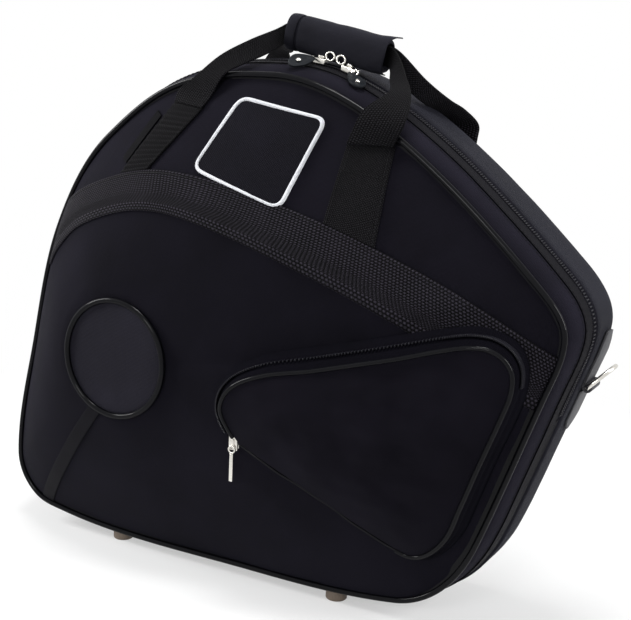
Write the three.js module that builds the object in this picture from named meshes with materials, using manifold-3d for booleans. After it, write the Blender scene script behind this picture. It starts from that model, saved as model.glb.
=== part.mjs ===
// A soft-sided case for a french horn, standing upright on its glides: two rigid cloth-covered
// halves joined by a zip and a cloth hinge, with an outer pocket, two carrying handles held
// together by a padded wrap, strap rings and a foam bed.
// Millimetres. X runs to the right, -Y to the front and +Z up.

import * as THREE from 'three';
import { mergeVertices } from 'three/addons/utils/BufferGeometryUtils.js';
import Module from 'manifold-3d';

const wasm = await Module();
wasm.setup();

// Driving sizes of the case

const caseWidth = 540;
const caseHeight = 437;
const lidRimDepth = 39;
const domeHeight = 53;
const rearEdgeDepth = 57;
const backDepth = 72;
const shellWall = 8;
const sideFlare = 12;
const rearLip = 3;
const crownUpper = 2;
const crownLower = 3;

// Clearances

const rimGap = 0.6;
const fitGap = 0.3;
const clothGap = 0.45;
const foamGap = 0.5;
const overrun = 60;

// Cloth, webbing and cords

const webbingWidth = 47;
const webbingThickness = 1.6;
const pipingRadius = 2.2;
const tapeThickness = 1.2;
const tapeWidth = 13;
const teethWidth = 2.7;
const teethHeight = 3;
const lipStart = 3.3;
const lipRun = 1.8;

// Disc over the bell's throat, and its strip

const discRadius = 52;
const discMargin = 6;
const discThickness = 3;
const stripWidth = 13;

// Patch and label

const patchThickness = 1.6;
const patchBorderWidth = 3.2;
const patchBorderRise = 0.8;
const patchCornerRadius = 11;
const labelWidth = 8;
const labelThickness = 0.8;

// Pocket

const pocketDepth = 22;
const pocketSeamDepth = 3;
const pocketRun = 30;
const pocketWall = 2;
const pocketPanel = 2.4;
const pocketPipingRadius = 1.9;
const pocketTeethRadius = 1.5;
const pocketPullLength = 34;
const pocketPullWidth = 7;
const pocketPullThickness = 2.2;
const pocketSliderLength = 13;
const pocketSliderWidth = 9;
const pocketSliderHeight = 5;

// Main zip sliders and their pulls

const arcRadius = 192;
const sliderLength = 12;
const sliderPlate = 2.6;
const sliderClearance = 1.2;
const sliderFront = 6.4;
const sliderRear = 2.6;
const lockLoopRadius = 2.6;
const lockLoopWire = 0.9;
const pullLength = 25;
const pullWidth = 13;
const pullThickness = 2.4;

// Handles

const handleRise = 36;
const wrapRadius = 15.2;
const wrapWall = 4;
const wrapSides = 16;
const ribbonSteps = 3;
const ribbonGap = 1;
const pipingClear = 7;
const ribbonThickness = 2.2;
const foldedWidth = 18;
const ribbonSpacing = 4;
const rearStrapLength = 110;

// Strap rings

const ringWidth = 44;
const ringReach = 26;
const ringWire = 2.2;
const patchStripWidth = 30;
const ringPatchLength = 88;
const ringPatchThickness = 1.8;
const keeperWidth = 24;
const keeperWall = 1.6;
const keeperGap = 0.4;
const ringLiftDeg = 65;

// Glides

const footRadius = 9.5;
const footHeight = 5;
const footEdge = 1.5;

// Foam and the straps inside

const bellRadius = 130;
const bellThroatRadius = 40;
const bodyRadius = 128;
const foamSetback = 3;
const bedDepth = 52;
const pipeSlotWidth = 74;
const bedStrapWidth = 38;

// Outline of the front edge, seen from the front: shares of half the width and of the height,
// with the heading of the edge there in degrees, anticlockwise from the lower left corner

const outlineShares = [
  [-0.804, 0.016, 351],
  [0, 0, 360],
  [0.537, 0.017, 369],
  [0.785, 0.165, 429.5],
  [0.957, 0.475, 431],
  [1, 0.577, 450],
  [0.915, 0.663, 496],
  [0.607, 0.832, 502],
  [0.337, 0.944, 512],
  [0.025, 1, 540],
  [-0.33, 0.97, 560],
  [-0.6, 0.859, 581],
  [-0.815, 0.657, 607],
  [-0.93, 0.379, 617.5],
  [-1, 0.125, 630],
  [-0.92, 0.036, 685],
];
const turnStepDeg = 9;
const longestStep = 40;

// How much of the side flare is left on the underside
const bottomFlareShare = 0.4;

// Side profile of the lid from the rim to the piping: share of the depth, share of the flare
const lidSideShares = [[0, 1], [0.46, 0.88], [0.8, 0.55], [1, 0]];

// Side profile of the rear half behind its lip: share of the way to the back, set-in in
// multiples of the lip
const rearSideShares = [[0.62, 0], [0.79, 0.6], [0.91, 2.4], [0.97, 5], [1, 9]];

// Places on the front, as shares of half the width and of the height

const discCentreShares = [-0.419, 0.428];
const bandShares = [
  [-0.83, 0.636], [-0.69, 0.7], [-0.48, 0.751], [-0.34, 0.769], [-0.2, 0.768],
  [0.02, 0.741], [0.23, 0.701], [0.45, 0.65], [0.68, 0.587], [1.03, 0.472],
];
const ridgeHeightShares = [0.02, 0.42, 0.72, 0.82, 0.86, 0.84, 0.72, 0.56, 0.36, 0.03];
const shoulderShare = 0.42;
const shoulderRiseShare = 0.15;
const ridgeMinShare = 0.14;
const outerRings = 4;
const innerRings = 6;

const strapLeftShares = [[-0.452, 0.8], [-0.326, 0.79], [-0.196, 0.93], [-0.314, 0.938]];
const strapRightShares = [[0.291, 0.72], [0.449, 0.71], [0.452, 0.885], [0.318, 0.885]];
const patchShares = [[-0.07, 0.961], [0.239, 0.929], [0.16, 0.764], [-0.155, 0.81]];
const labelShares = [[-0.465, 0.818], [-0.37, 0.915]];
const stripEndShares = [[-0.463, 0.342], [-0.915, -0.005]];

const pocketEdgeShares = [
  [0.059, 0.309], [0.033, 0.343], [0.02, 0.373], [0.037, 0.403], [0.078, 0.43],
  [0.166, 0.455], [0.31, 0.476], [0.432, 0.497], [0.566, 0.52], [0.689, 0.544],
  [0.763, 0.556], [0.822, 0.558], [0.863, 0.547], [0.889, 0.524], [0.889, 0.487],
  [0.866, 0.44], [0.815, 0.352], [0.763, 0.259], [0.726, 0.197], [0.681, 0.16],
  [0.637, 0.14], [0.6, 0.135], [0.563, 0.142],
];
const pocketBaseShares = [
  [0.037, 0.3], [-0.011, 0.334], [-0.03, 0.368], [-0.022, 0.405], [0.022, 0.444],
  [0.119, 0.48], [0.289, 0.512], [0.415, 0.533], [0.556, 0.558], [0.681, 0.579],
  [0.77, 0.588], [0.837, 0.581], [0.889, 0.561], [0.911, 0.531], [0.911, 0.487],
  [0.889, 0.435], [0.837, 0.348], [0.785, 0.252], [0.748, 0.19], [0.7, 0.149],
  [0.648, 0.126], [0.596, 0.124], [0.556, 0.133],
];
const pocketSeamShares = [[0.048, 0.304], [0.563, 0.133]];
const pocketSliderShare = [0.037, 0.304];

// Stretches of the outline: the zip runs from the right side over the top to the underside,
// and the cloth hinge takes the rest. Numbers are places in the outline's own list of points.
const zipEndShare = [0.925, 0.425];
const zipStartShare = [0.5, 0.014];

// Places of hardware, as shares of half the width and of the height

const footXShares = [-0.56, 0.31];
const ringRightShare = [0.975, 0.487];
const ringLeftShare = [-0.87, 0.52];
const sliderLeftDeg = 6.9;
const sliderRightDeg = 14.8;

// The wrap's ends, and the edges of both handles' ribbons on each side of it: shares of half the
// width, of the lid rim's depth in front or the back's depth behind, and of the height, where
// what goes beyond 1 is a share of the handles' rise
const wrapStartShare = [0.015, 0.125, 2];
const wrapEndShare = [0.374, 0.125, 1.668];
const insideShares = [-0.03, 0.14, 0.5, 0.86, 1.03];
const frontLeftOuterShares = [
  [-0.305, -1.2, 0.963], [-0.241, -1.2, 0.993], [-0.17, -0.997, 1.413], [-0.1, -0.665, 1.777],
  [-0.05, -0.148, 2.056],
];
const frontLeftInnerShares = [
  [-0.18, -1.292, 0.951], [-0.135, -1.2, 0.999], [-0.092, -0.978, 1.219], [-0.05, -0.609, 1.437],
  [-0.03, -0.185, 1.643],
];
const frontRightOuterShares = [
  [0.455, -0.369, 1.121], [0.478, -0.849, 0.973], [0.485, -1.2, 0.93],
];
const frontRightInnerShares = [
  [0.395, -0.406, 1.061], [0.405, -0.868, 0.982], [0.355, -1.255, 0.95],
];
const rearLeftOuterShares = [
  [-0.363, 1.024, 0.927], [-0.34, 1.035, 0.961], [-0.29, 1.06, 1.085], [-0.222, 0.89, 1.522],
  [-0.16, 0.66, 1.728], [-0.08, 0.36, 1.971],
];
const rearLeftInnerShares = [
  [-0.204, 1.024, 0.911], [-0.193, 1.035, 0.943], [-0.165, 1.06, 0.988], [-0.14, 0.89, 1.364],
  [-0.11, 0.66, 1.522], [-0.05, 0.36, 1.571],
];
const rearRightOuterShares = [
  [0.455, 0.33, 1.194], [0.5, 0.66, 0.98], [0.525, 0.86, 0.961], [0.54, 1.05, 0.92],
  [0.54, 1.035, 0.897], [0.533, 1.024, 0.865],
];
const rearRightInnerShares = [
  [0.4, 0.33, 0.99], [0.425, 0.66, 0.968], [0.425, 0.86, 0.955], [0.38, 1.05, 0.92],
  [0.363, 1.035, 0.897], [0.36, 1.024, 0.865],
];

// Finishes

const finishes = {
  cloth: { color: 0x16171d, roughness: 0.85, metalness: 0 },
  panel: { color: 0x101117, roughness: 0.9, metalness: 0 },
  webbing: { color: 0x141316, roughness: 0.8, metalness: 0 },
  piping: { color: 0x08080a, roughness: 0.25, metalness: 0 },
  foam: { color: 0x23252d, roughness: 1, metalness: 0 },
  thread: { color: 0xe9e9ec, roughness: 0.7, metalness: 0 },
  leather: { color: 0x0f0f10, roughness: 0.5, metalness: 0 },
  vinyl: { color: 0x33343a, roughness: 0.6, metalness: 0 },
  teeth: { color: 0x0c0c10, roughness: 0.45, metalness: 0 },
  nickel: { color: 0xd5d2c8, roughness: 0.25, metalness: 1 },
  glide: { color: 0x9a8878, roughness: 0.6, metalness: 0 },
};

const group = new THREE.Group();

function addPart(name, geometry, finish) {
  const material = new THREE.MeshStandardMaterial(finishes[finish]);
  const mesh = new THREE.Mesh(geometry, material);
  mesh.name = name;
  group.add(mesh);
  return mesh;
}

// Solids from rings of points

function volumeOf(points, index) {
  let sum = 0;
  for (let k = 0; k < index.length; k += 3) {
    const a = points[index[k]];
    const b = points[index[k + 1]];
    const c = points[index[k + 2]];
    sum += a.dot(new THREE.Vector3().crossVectors(b, c));
  }
  return sum / 6;
}

function solidFrom(points, index) {
  if (volumeOf(points, index) < 0) {
    for (let k = 0; k < index.length; k += 3) {
      const kept = index[k];
      index[k] = index[k + 1];
      index[k + 1] = kept;
    }
  }
  const geometry = new THREE.BufferGeometry();
  const flat = points.flatMap((p) => [p.x, p.y, p.z]);
  geometry.setAttribute('position', new THREE.Float32BufferAttribute(flat, 3));
  geometry.setIndex(index);
  return geometry;
}

function middleOf(ring) {
  const sum = new THREE.Vector3();
  ring.forEach((p) => sum.add(p));
  return sum.divideScalar(ring.length);
}

// Joins rings of equal length in turn, and closes both ends with a fan or joins them as a loop
function loft(rings, closed = false) {
  const points = rings.flat();
  const count = rings[0].length;
  const index = [];
  const steps = closed ? rings.length : rings.length - 1;
  for (let k = 0; k < steps; k += 1) {
    const from = k * count;
    const to = ((k + 1) % rings.length) * count;
    for (let i = 0; i < count; i += 1) {
      const next = (i + 1) % count;
      index.push(from + i, from + next, to + next);
      index.push(from + i, to + next, to + i);
    }
  }
  if (!closed) {
    const last = (rings.length - 1) * count;
    const first = points.push(middleOf(rings[0])) - 1;
    const final = points.push(middleOf(rings[rings.length - 1])) - 1;
    for (let i = 0; i < count; i += 1) {
      const next = (i + 1) % count;
      index.push(first, next, i);
      index.push(final, last + i, last + next);
    }
  }
  return solidFrom(points, index);
}

// Booleans

function toManifold(geometry) {
  const bare = geometry.clone();
  bare.deleteAttribute('normal');
  bare.deleteAttribute('uv');
  const merged = mergeVertices(bare);
  const vertProperties = new Float32Array(merged.attributes.position.array);
  const triVerts = new Uint32Array(merged.index.array);
  return new wasm.Manifold(new wasm.Mesh({ numProp: 3, vertProperties, triVerts }));
}

function fromManifold(manifold) {
  const mesh = manifold.getMesh();
  const geometry = new THREE.BufferGeometry();
  const position = new THREE.Float32BufferAttribute(mesh.vertProperties, 3);
  geometry.setAttribute('position', position);
  geometry.setIndex(Array.from(mesh.triVerts));
  return geometry;
}

// An outline in X and Z, extruded along Y
function prismGeometry(outline, yFront, yBack) {
  const shape = new THREE.Shape(outline.map(([x, z]) => new THREE.Vector2(x, z)));
  const geometry = new THREE.ExtrudeGeometry(shape, { depth: yBack - yFront, bevelEnabled: false });
  geometry.rotateX(Math.PI / 2);
  geometry.translate(0, yBack, 0);
  return geometry;
}

const frontLimit = -(lidRimDepth + domeHeight + overrun);

function prism(outline, yFront = frontLimit, yBack = 0) {
  return toManifold(prismGeometry(outline, yFront, yBack));
}

// The outline of the front edge

function place([xShare, zShare]) {
  return [xShare * caseWidth / 2, zShare * caseHeight];
}

function outlineSegment(from, to, headingTurn) {
  const [x0, z0] = place(from);
  const [x1, z1] = place(to);
  const h0 = THREE.MathUtils.degToRad(from[2]);
  const h1 = THREE.MathUtils.degToRad(to[2] + headingTurn);
  const chord = Math.hypot(x1 - x0, z1 - z0);
  const reach = chord * (2 / 3) / (1 + Math.cos((h1 - h0) / 2));
  const curve = new THREE.CubicBezierCurve(
    new THREE.Vector2(x0, z0),
    new THREE.Vector2(x0 + reach * Math.cos(h0), z0 + reach * Math.sin(h0)),
    new THREE.Vector2(x1 - reach * Math.cos(h1), z1 - reach * Math.sin(h1)),
    new THREE.Vector2(x1, z1),
  );
  const turn = THREE.MathUtils.radToDeg(h1 - h0);
  const steps = Math.max(2, Math.ceil(turn / turnStepDeg), Math.ceil(chord / longestStep));
  const samples = [];
  for (let k = 0; k < steps; k += 1) {
    const t = k / steps;
    const p = curve.getPoint(t);
    const d = curve.getTangent(t);
    const normal = new THREE.Vector2(d.y, -d.x);
    samples.push({ x: p.x, z: p.y, nx: normal.x, nz: normal.y });
  }
  return samples;
}

function makeOutline() {
  const samples = [];
  outlineShares.forEach((from, k) => {
    const last = k === outlineShares.length - 1;
    const to = last ? outlineShares[0] : outlineShares[k + 1];
    samples.push(...outlineSegment(from, to, last ? 360 : 0));
  });
  return samples;
}

const outline = makeOutline();
const count = outline.length;

outline.forEach((s) => {
  s.flare = sideFlare * (1 - (1 - bottomFlareShare) * Math.max(0, -s.nz));
});

function at(s, offset, y) {
  return new THREE.Vector3(s.x + s.nx * offset, y, s.z + s.nz * offset);
}

function outlineRing(offsetOf, y) {
  return outline.map((s) => at(s, offsetOf(s), y));
}

function insetOutline(inset) {
  return outline.map((s) => [s.x - s.nx * inset, s.z - s.nz * inset]);
}

function nearest(share) {
  const [x, z] = place(share);
  let best = 0;
  outline.forEach((s, i) => {
    const d = Math.hypot(s.x - x, s.z - z);
    const e = Math.hypot(outline[best].x - x, outline[best].z - z);
    best = d < e ? i : best;
  });
  return best;
}

// Offset of the outer wall from the outline at a depth y

function along(profile, value) {
  let k = 0;
  while (k < profile.length - 2 && value > profile[k + 1][0]) {
    k += 1;
  }
  const [a, p] = profile[k];
  const [b, q] = profile[k + 1];
  return p + (q - p) * (value - a) / (b - a);
}

const lidRim = -rimGap;
const lidProfile = lidSideShares.map(([d, f]) => [rimGap + d * (lidRimDepth - rimGap), f]);
const rearRun = backDepth - lipStart - lipRun;
const rearProfile = [[rimGap, 0], [lipStart, 0], [lipStart + lipRun, 1]].concat(
  rearSideShares.map(([d, f]) => [lipStart + lipRun + d * rearRun, 1 - f]),
);

function wallOffset(s, y) {
  if (y < 0) {
    return s.flare * along(lidProfile, -y);
  }
  return s.flare + rearLip * along(rearProfile, y);
}

// The domed front: for each direction from the disc, a straight run from the piping up to the
// ridge or shoulder, and another from there to the flat top that carries the disc

const discCentre = new THREE.Vector2(...place(discCentreShares));
const topRadius = discRadius + discMargin;
const bandCurve = new THREE.CatmullRomCurve3(
  bandShares.map((share) => new THREE.Vector3(place(share)[0], 0, place(share)[1])),
);
const bandLine = bandCurve.getPoints(60);

function cross2(ax, az, bx, bz) {
  return ax * bz - az * bx;
}

// Where the ray from the disc's centre through an outline point meets the band's centre line
function ridgeHit(s) {
  const dx = s.x - discCentre.x;
  const dz = s.z - discCentre.y;
  for (let k = 0; k < bandLine.length - 1; k += 1) {
    const a = bandLine[k];
    const b = bandLine[k + 1];
    const den = cross2(dx, dz, b.x - a.x, b.z - a.z);
    const t = cross2(a.x - discCentre.x, a.z - discCentre.y, b.x - a.x, b.z - a.z) / den;
    const u = cross2(a.x - discCentre.x, a.z - discCentre.y, dx, dz) / den;
    if (u >= 0 && u <= 1 && t > 0 && t < 1) {
      return { t, place: (k + u) / (bandLine.length - 1) };
    }
  }
  return null;
}

function shareAlong(shares, t) {
  const f = t * (shares.length - 1);
  const k = Math.min(Math.floor(f), shares.length - 2);
  return shares[k] + (shares[k + 1] - shares[k]) * (f - k);
}

function smoothed(values, passes) {
  let result = values;
  for (let pass = 0; pass < passes; pass += 1) {
    const v = result;
    result = v.map((x, i) => (v[(i + count - 1) % count] + 2 * x + v[(i + 1) % count]) / 4);
  }
  return result;
}

function makeRidge() {
  const shares = [];
  const heights = [];
  outline.forEach((s) => {
    const reach = Math.hypot(s.x - discCentre.x, s.z - discCentre.y);
    const hit = ridgeHit(s);
    const share = hit ? (1 - hit.t) * reach / (reach - topRadius) : shoulderShare;
    const kept = Math.max(share, ridgeMinShare);
    const straight = kept + (hit ? 0 : shoulderRiseShare);
    const ridge = hit ? shareAlong(ridgeHeightShares, hit.place) : 0;
    shares.push(kept);
    heights.push(Math.max(straight, ridge) * domeHeight);
  });
  return { shares: smoothed(shares, 1), heights: smoothed(heights, 1) };
}

const ridge = makeRidge();
const ringTotal = outerRings + innerRings;

function skinPoint(i, j) {
  const s = outline[i];
  const reach = Math.hypot(s.x - discCentre.x, s.z - discCentre.y);
  const topX = discCentre.x + (s.x - discCentre.x) * topRadius / reach;
  const topZ = discCentre.y + (s.z - discCentre.y) * topRadius / reach;
  const outer = j <= outerRings;
  const t = outer ? j / outerRings : (j - outerRings) / innerRings;
  const a = ridge.shares[i];
  const share = outer ? a * t : a + (1 - a) * t;
  const crown = (outer ? crownUpper : crownLower) * 4 * t * (1 - t);
  const from = outer ? 0 : ridge.heights[i];
  const to = outer ? ridge.heights[i] : domeHeight;
  const height = from + (to - from) * t + crown;
  return new THREE.Vector3(
    s.x + (topX - s.x) * share,
    -lidRimDepth - height,
    s.z + (topZ - s.z) * share,
  );
}

const skinRings = [];
for (let j = 0; j <= ringTotal; j += 1) {
  skinRings.push(outline.map((s, i) => skinPoint(i, j)));
}

function liftedRing(ring, lift) {
  return ring.map((p) => new THREE.Vector3(p.x, p.y - lift(p.x, p.z), p.z));
}

// The space between two copies of the front skin, lifted off it by low and by high
function skinLayer(low, high) {
  const lowOf = typeof low === 'number' ? () => low : low;
  const highOf = typeof high === 'number' ? () => high : high;
  const outward = skinRings.map((ring) => liftedRing(ring, highOf)).reverse();
  const inward = skinRings.map((ring) => liftedRing(ring, lowOf));
  return toManifold(loft(outward.concat(inward)));
}

const skinMesh = new THREE.Mesh(
  loft(skinRings.slice().reverse().concat([outlineRing(() => 0, 0)])),
  new THREE.MeshBasicMaterial({ side: THREE.DoubleSide }),
);
skinMesh.updateMatrixWorld();
const forward = new THREE.Vector3(0, 1, 0);

function skinY(x, z) {
  const ray = new THREE.Raycaster(new THREE.Vector3(x, frontLimit, z), forward);
  const hits = ray.intersectObject(skinMesh);
  return hits.length ? hits[0].point.y : -lidRimDepth;
}

// Lid and rear half

function lidSideRing(k) {
  const [depth, share] = lidProfile[k];
  return outlineRing((s) => s.flare * share, -depth);
}

function lidInnerRings(gap) {
  const wall = shellWall + gap;
  const ridgeRing = liftedRing(skinRings[outerRings], () => -wall);
  const topRing = liftedRing(skinRings[ringTotal], () => -wall);
  return [
    outlineRing((s) => s.flare - wall, lidRim - gap),
    outlineRing(() => -wall, -lidRimDepth + wall),
    ridgeRing,
    topRing,
  ];
}

const lidOuterRings = skinRings.slice().reverse().concat([2, 1, 0].map(lidSideRing));
addPart('lid_shell', loft(lidOuterRings.concat(lidInnerRings(0))), 'cloth');

function rearOuterRings() {
  return rearProfile.map(([y, f]) => outlineRing((s) => s.flare + rearLip * f, y));
}

const rearInnerDepth = backDepth - shellWall;

function rearInnerRings(gap, front) {
  const wall = shellWall + gap;
  return [
    outlineRing((s) => s.flare - wall, front),
    outlineRing((s) => s.flare - wall, rearEdgeDepth - wall),
    outlineRing((s) => s.flare - rearLip * rearSideShares[3][1] - wall, rearInnerDepth - gap),
  ];
}

const rearRings = rearInnerRings(0, rimGap).reverse().concat(rearOuterRings());
addPart('rear_shell', loft(rearRings), 'cloth');

// Foam inside both halves, cut out for the horn and its bell

function lidFoamSpace() {
  const rings = lidInnerRings(foamGap * 4);
  const share = foamSetback / (lidRimDepth - shellWall);
  rings[0] = rings[0].map((p, i) => p.clone().lerp(rings[1][i], share));
  return toManifold(loft(rings.reverse()));
}

const bellCentre = [discCentre.x + discMargin, discCentre.y - discMargin];

function lidFoam() {
  const depth = lidRimDepth + domeHeight;
  const bell = new THREE.LatheGeometry([
    new THREE.Vector2(0, 0),
    new THREE.Vector2(bellRadius, 0),
    new THREE.Vector2(bellRadius - foamGap, foamSetback * 3),
    new THREE.Vector2(bellThroatRadius * 2, lidRimDepth),
    new THREE.Vector2(bellThroatRadius, depth),
    new THREE.Vector2(0, depth),
  ], 32);
  bell.rotateX(Math.PI);
  bell.translate(bellCentre[0], 0, bellCentre[1]);
  return fromManifold(lidFoamSpace().subtract(toManifold(bell)));
}

addPart('lid_foam_ring', lidFoam(), 'foam');

function circlePoints([cx, cz], radius, steps) {
  const points = [];
  for (let k = 0; k < steps; k += 1) {
    const a = 2 * Math.PI * k / steps;
    points.push([cx + radius * Math.cos(a), cz + radius * Math.sin(a)]);
  }
  return points;
}

function stripPoints(ax, az, bx, bz, width) {
  const reach = Math.hypot(bx - ax, bz - az);
  const sx = -(bz - az) / reach * width / 2;
  const sz = (bx - ax) / reach * width / 2;
  return [[ax + sx, az + sz], [ax - sx, az - sz], [bx - sx, bz - sz], [bx + sx, bz + sz]];
}

const bedCentre = [discCentre.x + discMargin, discCentre.y + discMargin];
const pipeEnd = place([0.8, 0.55]);
const lowerEnd = place([0.5, 0.2]);

function foamBed() {
  const space = toManifold(loft(rearInnerRings(foamGap, foamSetback)));
  const front = foamSetback - overrun;
  const back = foamSetback + bedDepth;
  const round = prism(circlePoints(bedCentre, bodyRadius, 32), front, back);
  const pipe = prism(stripPoints(...bedCentre, ...pipeEnd, pipeSlotWidth), front, back);
  const lower = prism(stripPoints(...bedCentre, ...lowerEnd, pipeSlotWidth), front, back);
  return fromManifold(space.subtract(round).subtract(pipe).subtract(lower));
}

addPart('rear_foam_bed', foamBed(), 'foam');

// Straps over the foam bed
const bedStrapShares = { upper: [-0.5, 0.68, 0.25, 0.66], lower: [-0.5, 0.14, 0.25, 0.2] };

function bedStrap(ends) {
  const [ax, az] = place([ends[0], ends[1]]);
  const [bx, bz] = place([ends[2], ends[3]]);
  const back = foamSetback - fitGap;
  const outlinePoints = stripPoints(ax, az, bx, bz, bedStrapWidth);
  return prismGeometry(outlinePoints, back - webbingThickness, back);
}

addPart('bed_strap_upper', bedStrap(bedStrapShares.upper), 'webbing');
addPart('bed_strap_lower', bedStrap(bedStrapShares.lower), 'webbing');

// Bands that follow the side wall along a stretch of the outline

function stretch(from, to) {
  const samples = [];
  for (let i = from; ; i = (i + 1) % count) {
    samples.push(outline[i]);
    if (i === to) {
      return samples;
    }
  }
}

// A section given as depth and height over the wall, swept along the stretch
function wallBand(samples, section) {
  const rings = samples.map((s) => section.map(([y, lift]) => at(s, wallOffset(s, y) + lift, y)));
  return loft(rings);
}

function bandSection(yFront, yBack, low, high) {
  return [[yFront, low], [yBack, low], [yBack, high], [yFront, high]];
}

const zipEnd = nearest(zipEndShare);
const zipStart = nearest(zipStartShare);
const zipStretch = stretch(zipEnd, zipStart);
const hingeStretch = stretch((zipStart + 1) % count, zipEnd - 1);
const teethInner = -teethWidth - fitGap;
const tapeBack = teethInner - fitGap;
const tapeFront = tapeBack - tapeWidth;
const tapeTop = fitGap + tapeThickness;
const teethTop = fitGap + teethHeight;

addPart('front_zip_tape', wallBand(zipStretch, bandSection(tapeFront, tapeBack, fitGap, tapeTop)),
  'webbing');
addPart('front_zip_teeth', wallBand(zipStretch,
  bandSection(teethInner, -fitGap / 2, fitGap, teethTop)), 'teeth');
addPart('rear_zip_teeth', wallBand(zipStretch,
  bandSection(fitGap / 2, teethWidth, fitGap, teethTop)), 'teeth');

function gussetSection(s) {
  const back = lipStart - fitGap;
  const level = s.flare + fitGap;
  const front = wallOffset(s, tapeFront) + fitGap;
  return [
    at(s, front, tapeFront),
    at(s, level, -rimGap),
    at(s, level, back),
    at(s, level + tapeThickness, back),
    at(s, level + tapeThickness, -rimGap),
    at(s, front + tapeThickness, tapeFront),
  ];
}

addPart('hinge_gusset', loft(hingeStretch.map(gussetSection)), 'webbing');

// Round cords, six-sided, through rings in the planes that the points' normals span

function cordRing(centre, across, up, radius) {
  const ring = [];
  for (let k = 0; k < 6; k += 1) {
    const a = Math.PI * k / 3;
    const p = centre.clone();
    p.addScaledVector(across, radius * Math.cos(a));
    p.addScaledVector(up, radius * Math.sin(a));
    ring.push(p);
  }
  return ring;
}

const depthAxis = new THREE.Vector3(0, 1, 0);

function frontPiping() {
  const rings = outline.map((s) => {
    const centre = at(s, pipingRadius * 0.8, -lidRimDepth - pipingRadius * 0.9);
    return cordRing(centre, new THREE.Vector3(s.nx, 0, s.nz), depthAxis, pipingRadius);
  });
  return loft(rings, true);
}

addPart('front_piping', frontPiping(), 'piping');

// Disc, its piping and its strip

const topY = -lidRimDepth - domeHeight;
const discPipingRadius = discRadius - pipingRadius - fitGap;

function disc() {
  const geometry = new THREE.CylinderGeometry(discPipingRadius, discPipingRadius, discThickness, 40);
  geometry.translate(discCentre.x, topY - fitGap - discThickness / 2, discCentre.y);
  return geometry;
}

addPart('disc_panel', disc(), 'panel');

function discPiping() {
  const rings = [];
  for (let k = 0; k < 40; k += 1) {
    const a = 2 * Math.PI * k / 40;
    const outward = new THREE.Vector3(Math.cos(a), 0, Math.sin(a));
    const centre = outward.clone().multiplyScalar(discRadius);
    centre.add(new THREE.Vector3(discCentre.x, topY - fitGap - pipingRadius, discCentre.y));
    rings.push(cordRing(centre, outward, depthAxis, pipingRadius));
  }
  return loft(rings, true);
}

addPart('disc_piping', discPiping(), 'piping');

const frontField = prism(insetOutline(pipingRadius));
const webbingTop = clothGap + webbingThickness;

function ribbonOutline(points, width) {
  const left = [];
  const right = [];
  points.forEach((p, k) => {
    const a = points[Math.max(k - 1, 0)];
    const b = points[Math.min(k + 1, points.length - 1)];
    const reach = Math.hypot(b.x - a.x, b.z - a.z);
    const sx = -(b.z - a.z) / reach * width / 2;
    const sz = (b.x - a.x) / reach * width / 2;
    left.push([p.x + sx, p.z + sz]);
    right.unshift([p.x - sx, p.z - sz]);
  });
  return left.concat(right);
}

const bandPrism = prism(ribbonOutline(bandCurve.getPoints(24), webbingWidth));
const bandRoom = prism(ribbonOutline(bandCurve.getPoints(24), webbingWidth + 2 * fitGap))
  .intersect(skinLayer(0, webbingTop + fitGap));

function onSkin(outlinePoints, low, high) {
  return prism(outlinePoints).intersect(skinLayer(low, high)).intersect(frontField);
}

addPart('front_band', fromManifold(bandPrism.intersect(skinLayer(clothGap, webbingTop))
  .intersect(frontField)), 'webbing');

function strip() {
  const [ax, az] = place(stripEndShares[0]);
  const [bx, bz] = place(stripEndShares[1]);
  const cleared = prism(circlePoints([discCentre.x, discCentre.y],
    discRadius + pipingRadius + fitGap, 40));
  const whole = onSkin(stripPoints(ax, az, bx, bz, stripWidth), clothGap, webbingTop);
  return fromManifold(whole.subtract(cleared));
}

addPart('disc_strip', strip(), 'webbing');

// Sewn feet of the front handle

const strapLeft = strapLeftShares.map(place);
const strapRight = strapRightShares.map(place);
const strapTop = webbingTop;

addPart('front_strap_left', fromManifold(onSkin(strapLeft, clothGap, strapTop).subtract(bandRoom)),
  'webbing');
addPart('front_strap_right', fromManifold(onSkin(strapRight, clothGap, strapTop).subtract(bandRoom)),
  'webbing');

// Patch: a bare field inside an embroidered edge

function roundedCorners(corners, radius) {
  const points = [];
  corners.forEach((corner, k) => {
    const before = corners[(k + corners.length - 1) % corners.length];
    const after = corners[(k + 1) % corners.length];
    const c = new THREE.Vector2(...corner);
    const from = new THREE.Vector2(...before).sub(c).setLength(radius).add(c);
    const to = new THREE.Vector2(...after).sub(c).setLength(radius).add(c);
    const bend = new THREE.QuadraticBezierCurve(from, c, to);
    bend.getPoints(4).forEach((p) => points.push([p.x, p.y]));
  });
  return points;
}

function shrunk(corners, inset) {
  const cx = corners.reduce((sum, c) => sum + c[0], 0) / corners.length;
  const cz = corners.reduce((sum, c) => sum + c[1], 0) / corners.length;
  const reach = Math.hypot(corners[0][0] - cx, corners[0][1] - cz);
  const share = 1 - inset * Math.SQRT2 / reach;
  return corners.map(([x, z]) => [cx + (x - cx) * share, cz + (z - cz) * share]);
}

const patchCorners = patchShares.map(place);
const patchTop = clothGap + patchThickness;
const borderTop = patchTop + patchBorderRise + fitGap;

function patchPiece(inset, low, high) {
  const corners = shrunk(patchCorners, inset);
  const outlinePoints = roundedCorners(corners, patchCornerRadius - inset);
  return onSkin(outlinePoints, low, high).subtract(bandRoom);
}

const borderHole = prism(roundedCorners(shrunk(patchCorners, patchBorderWidth),
  patchCornerRadius - patchBorderWidth));
addPart('patch_field', fromManifold(patchPiece(patchBorderWidth + fitGap, clothGap, patchTop)),
  'panel');
addPart('patch_border', fromManifold(patchPiece(0, clothGap, borderTop).subtract(borderHole)),
  'thread');

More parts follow.
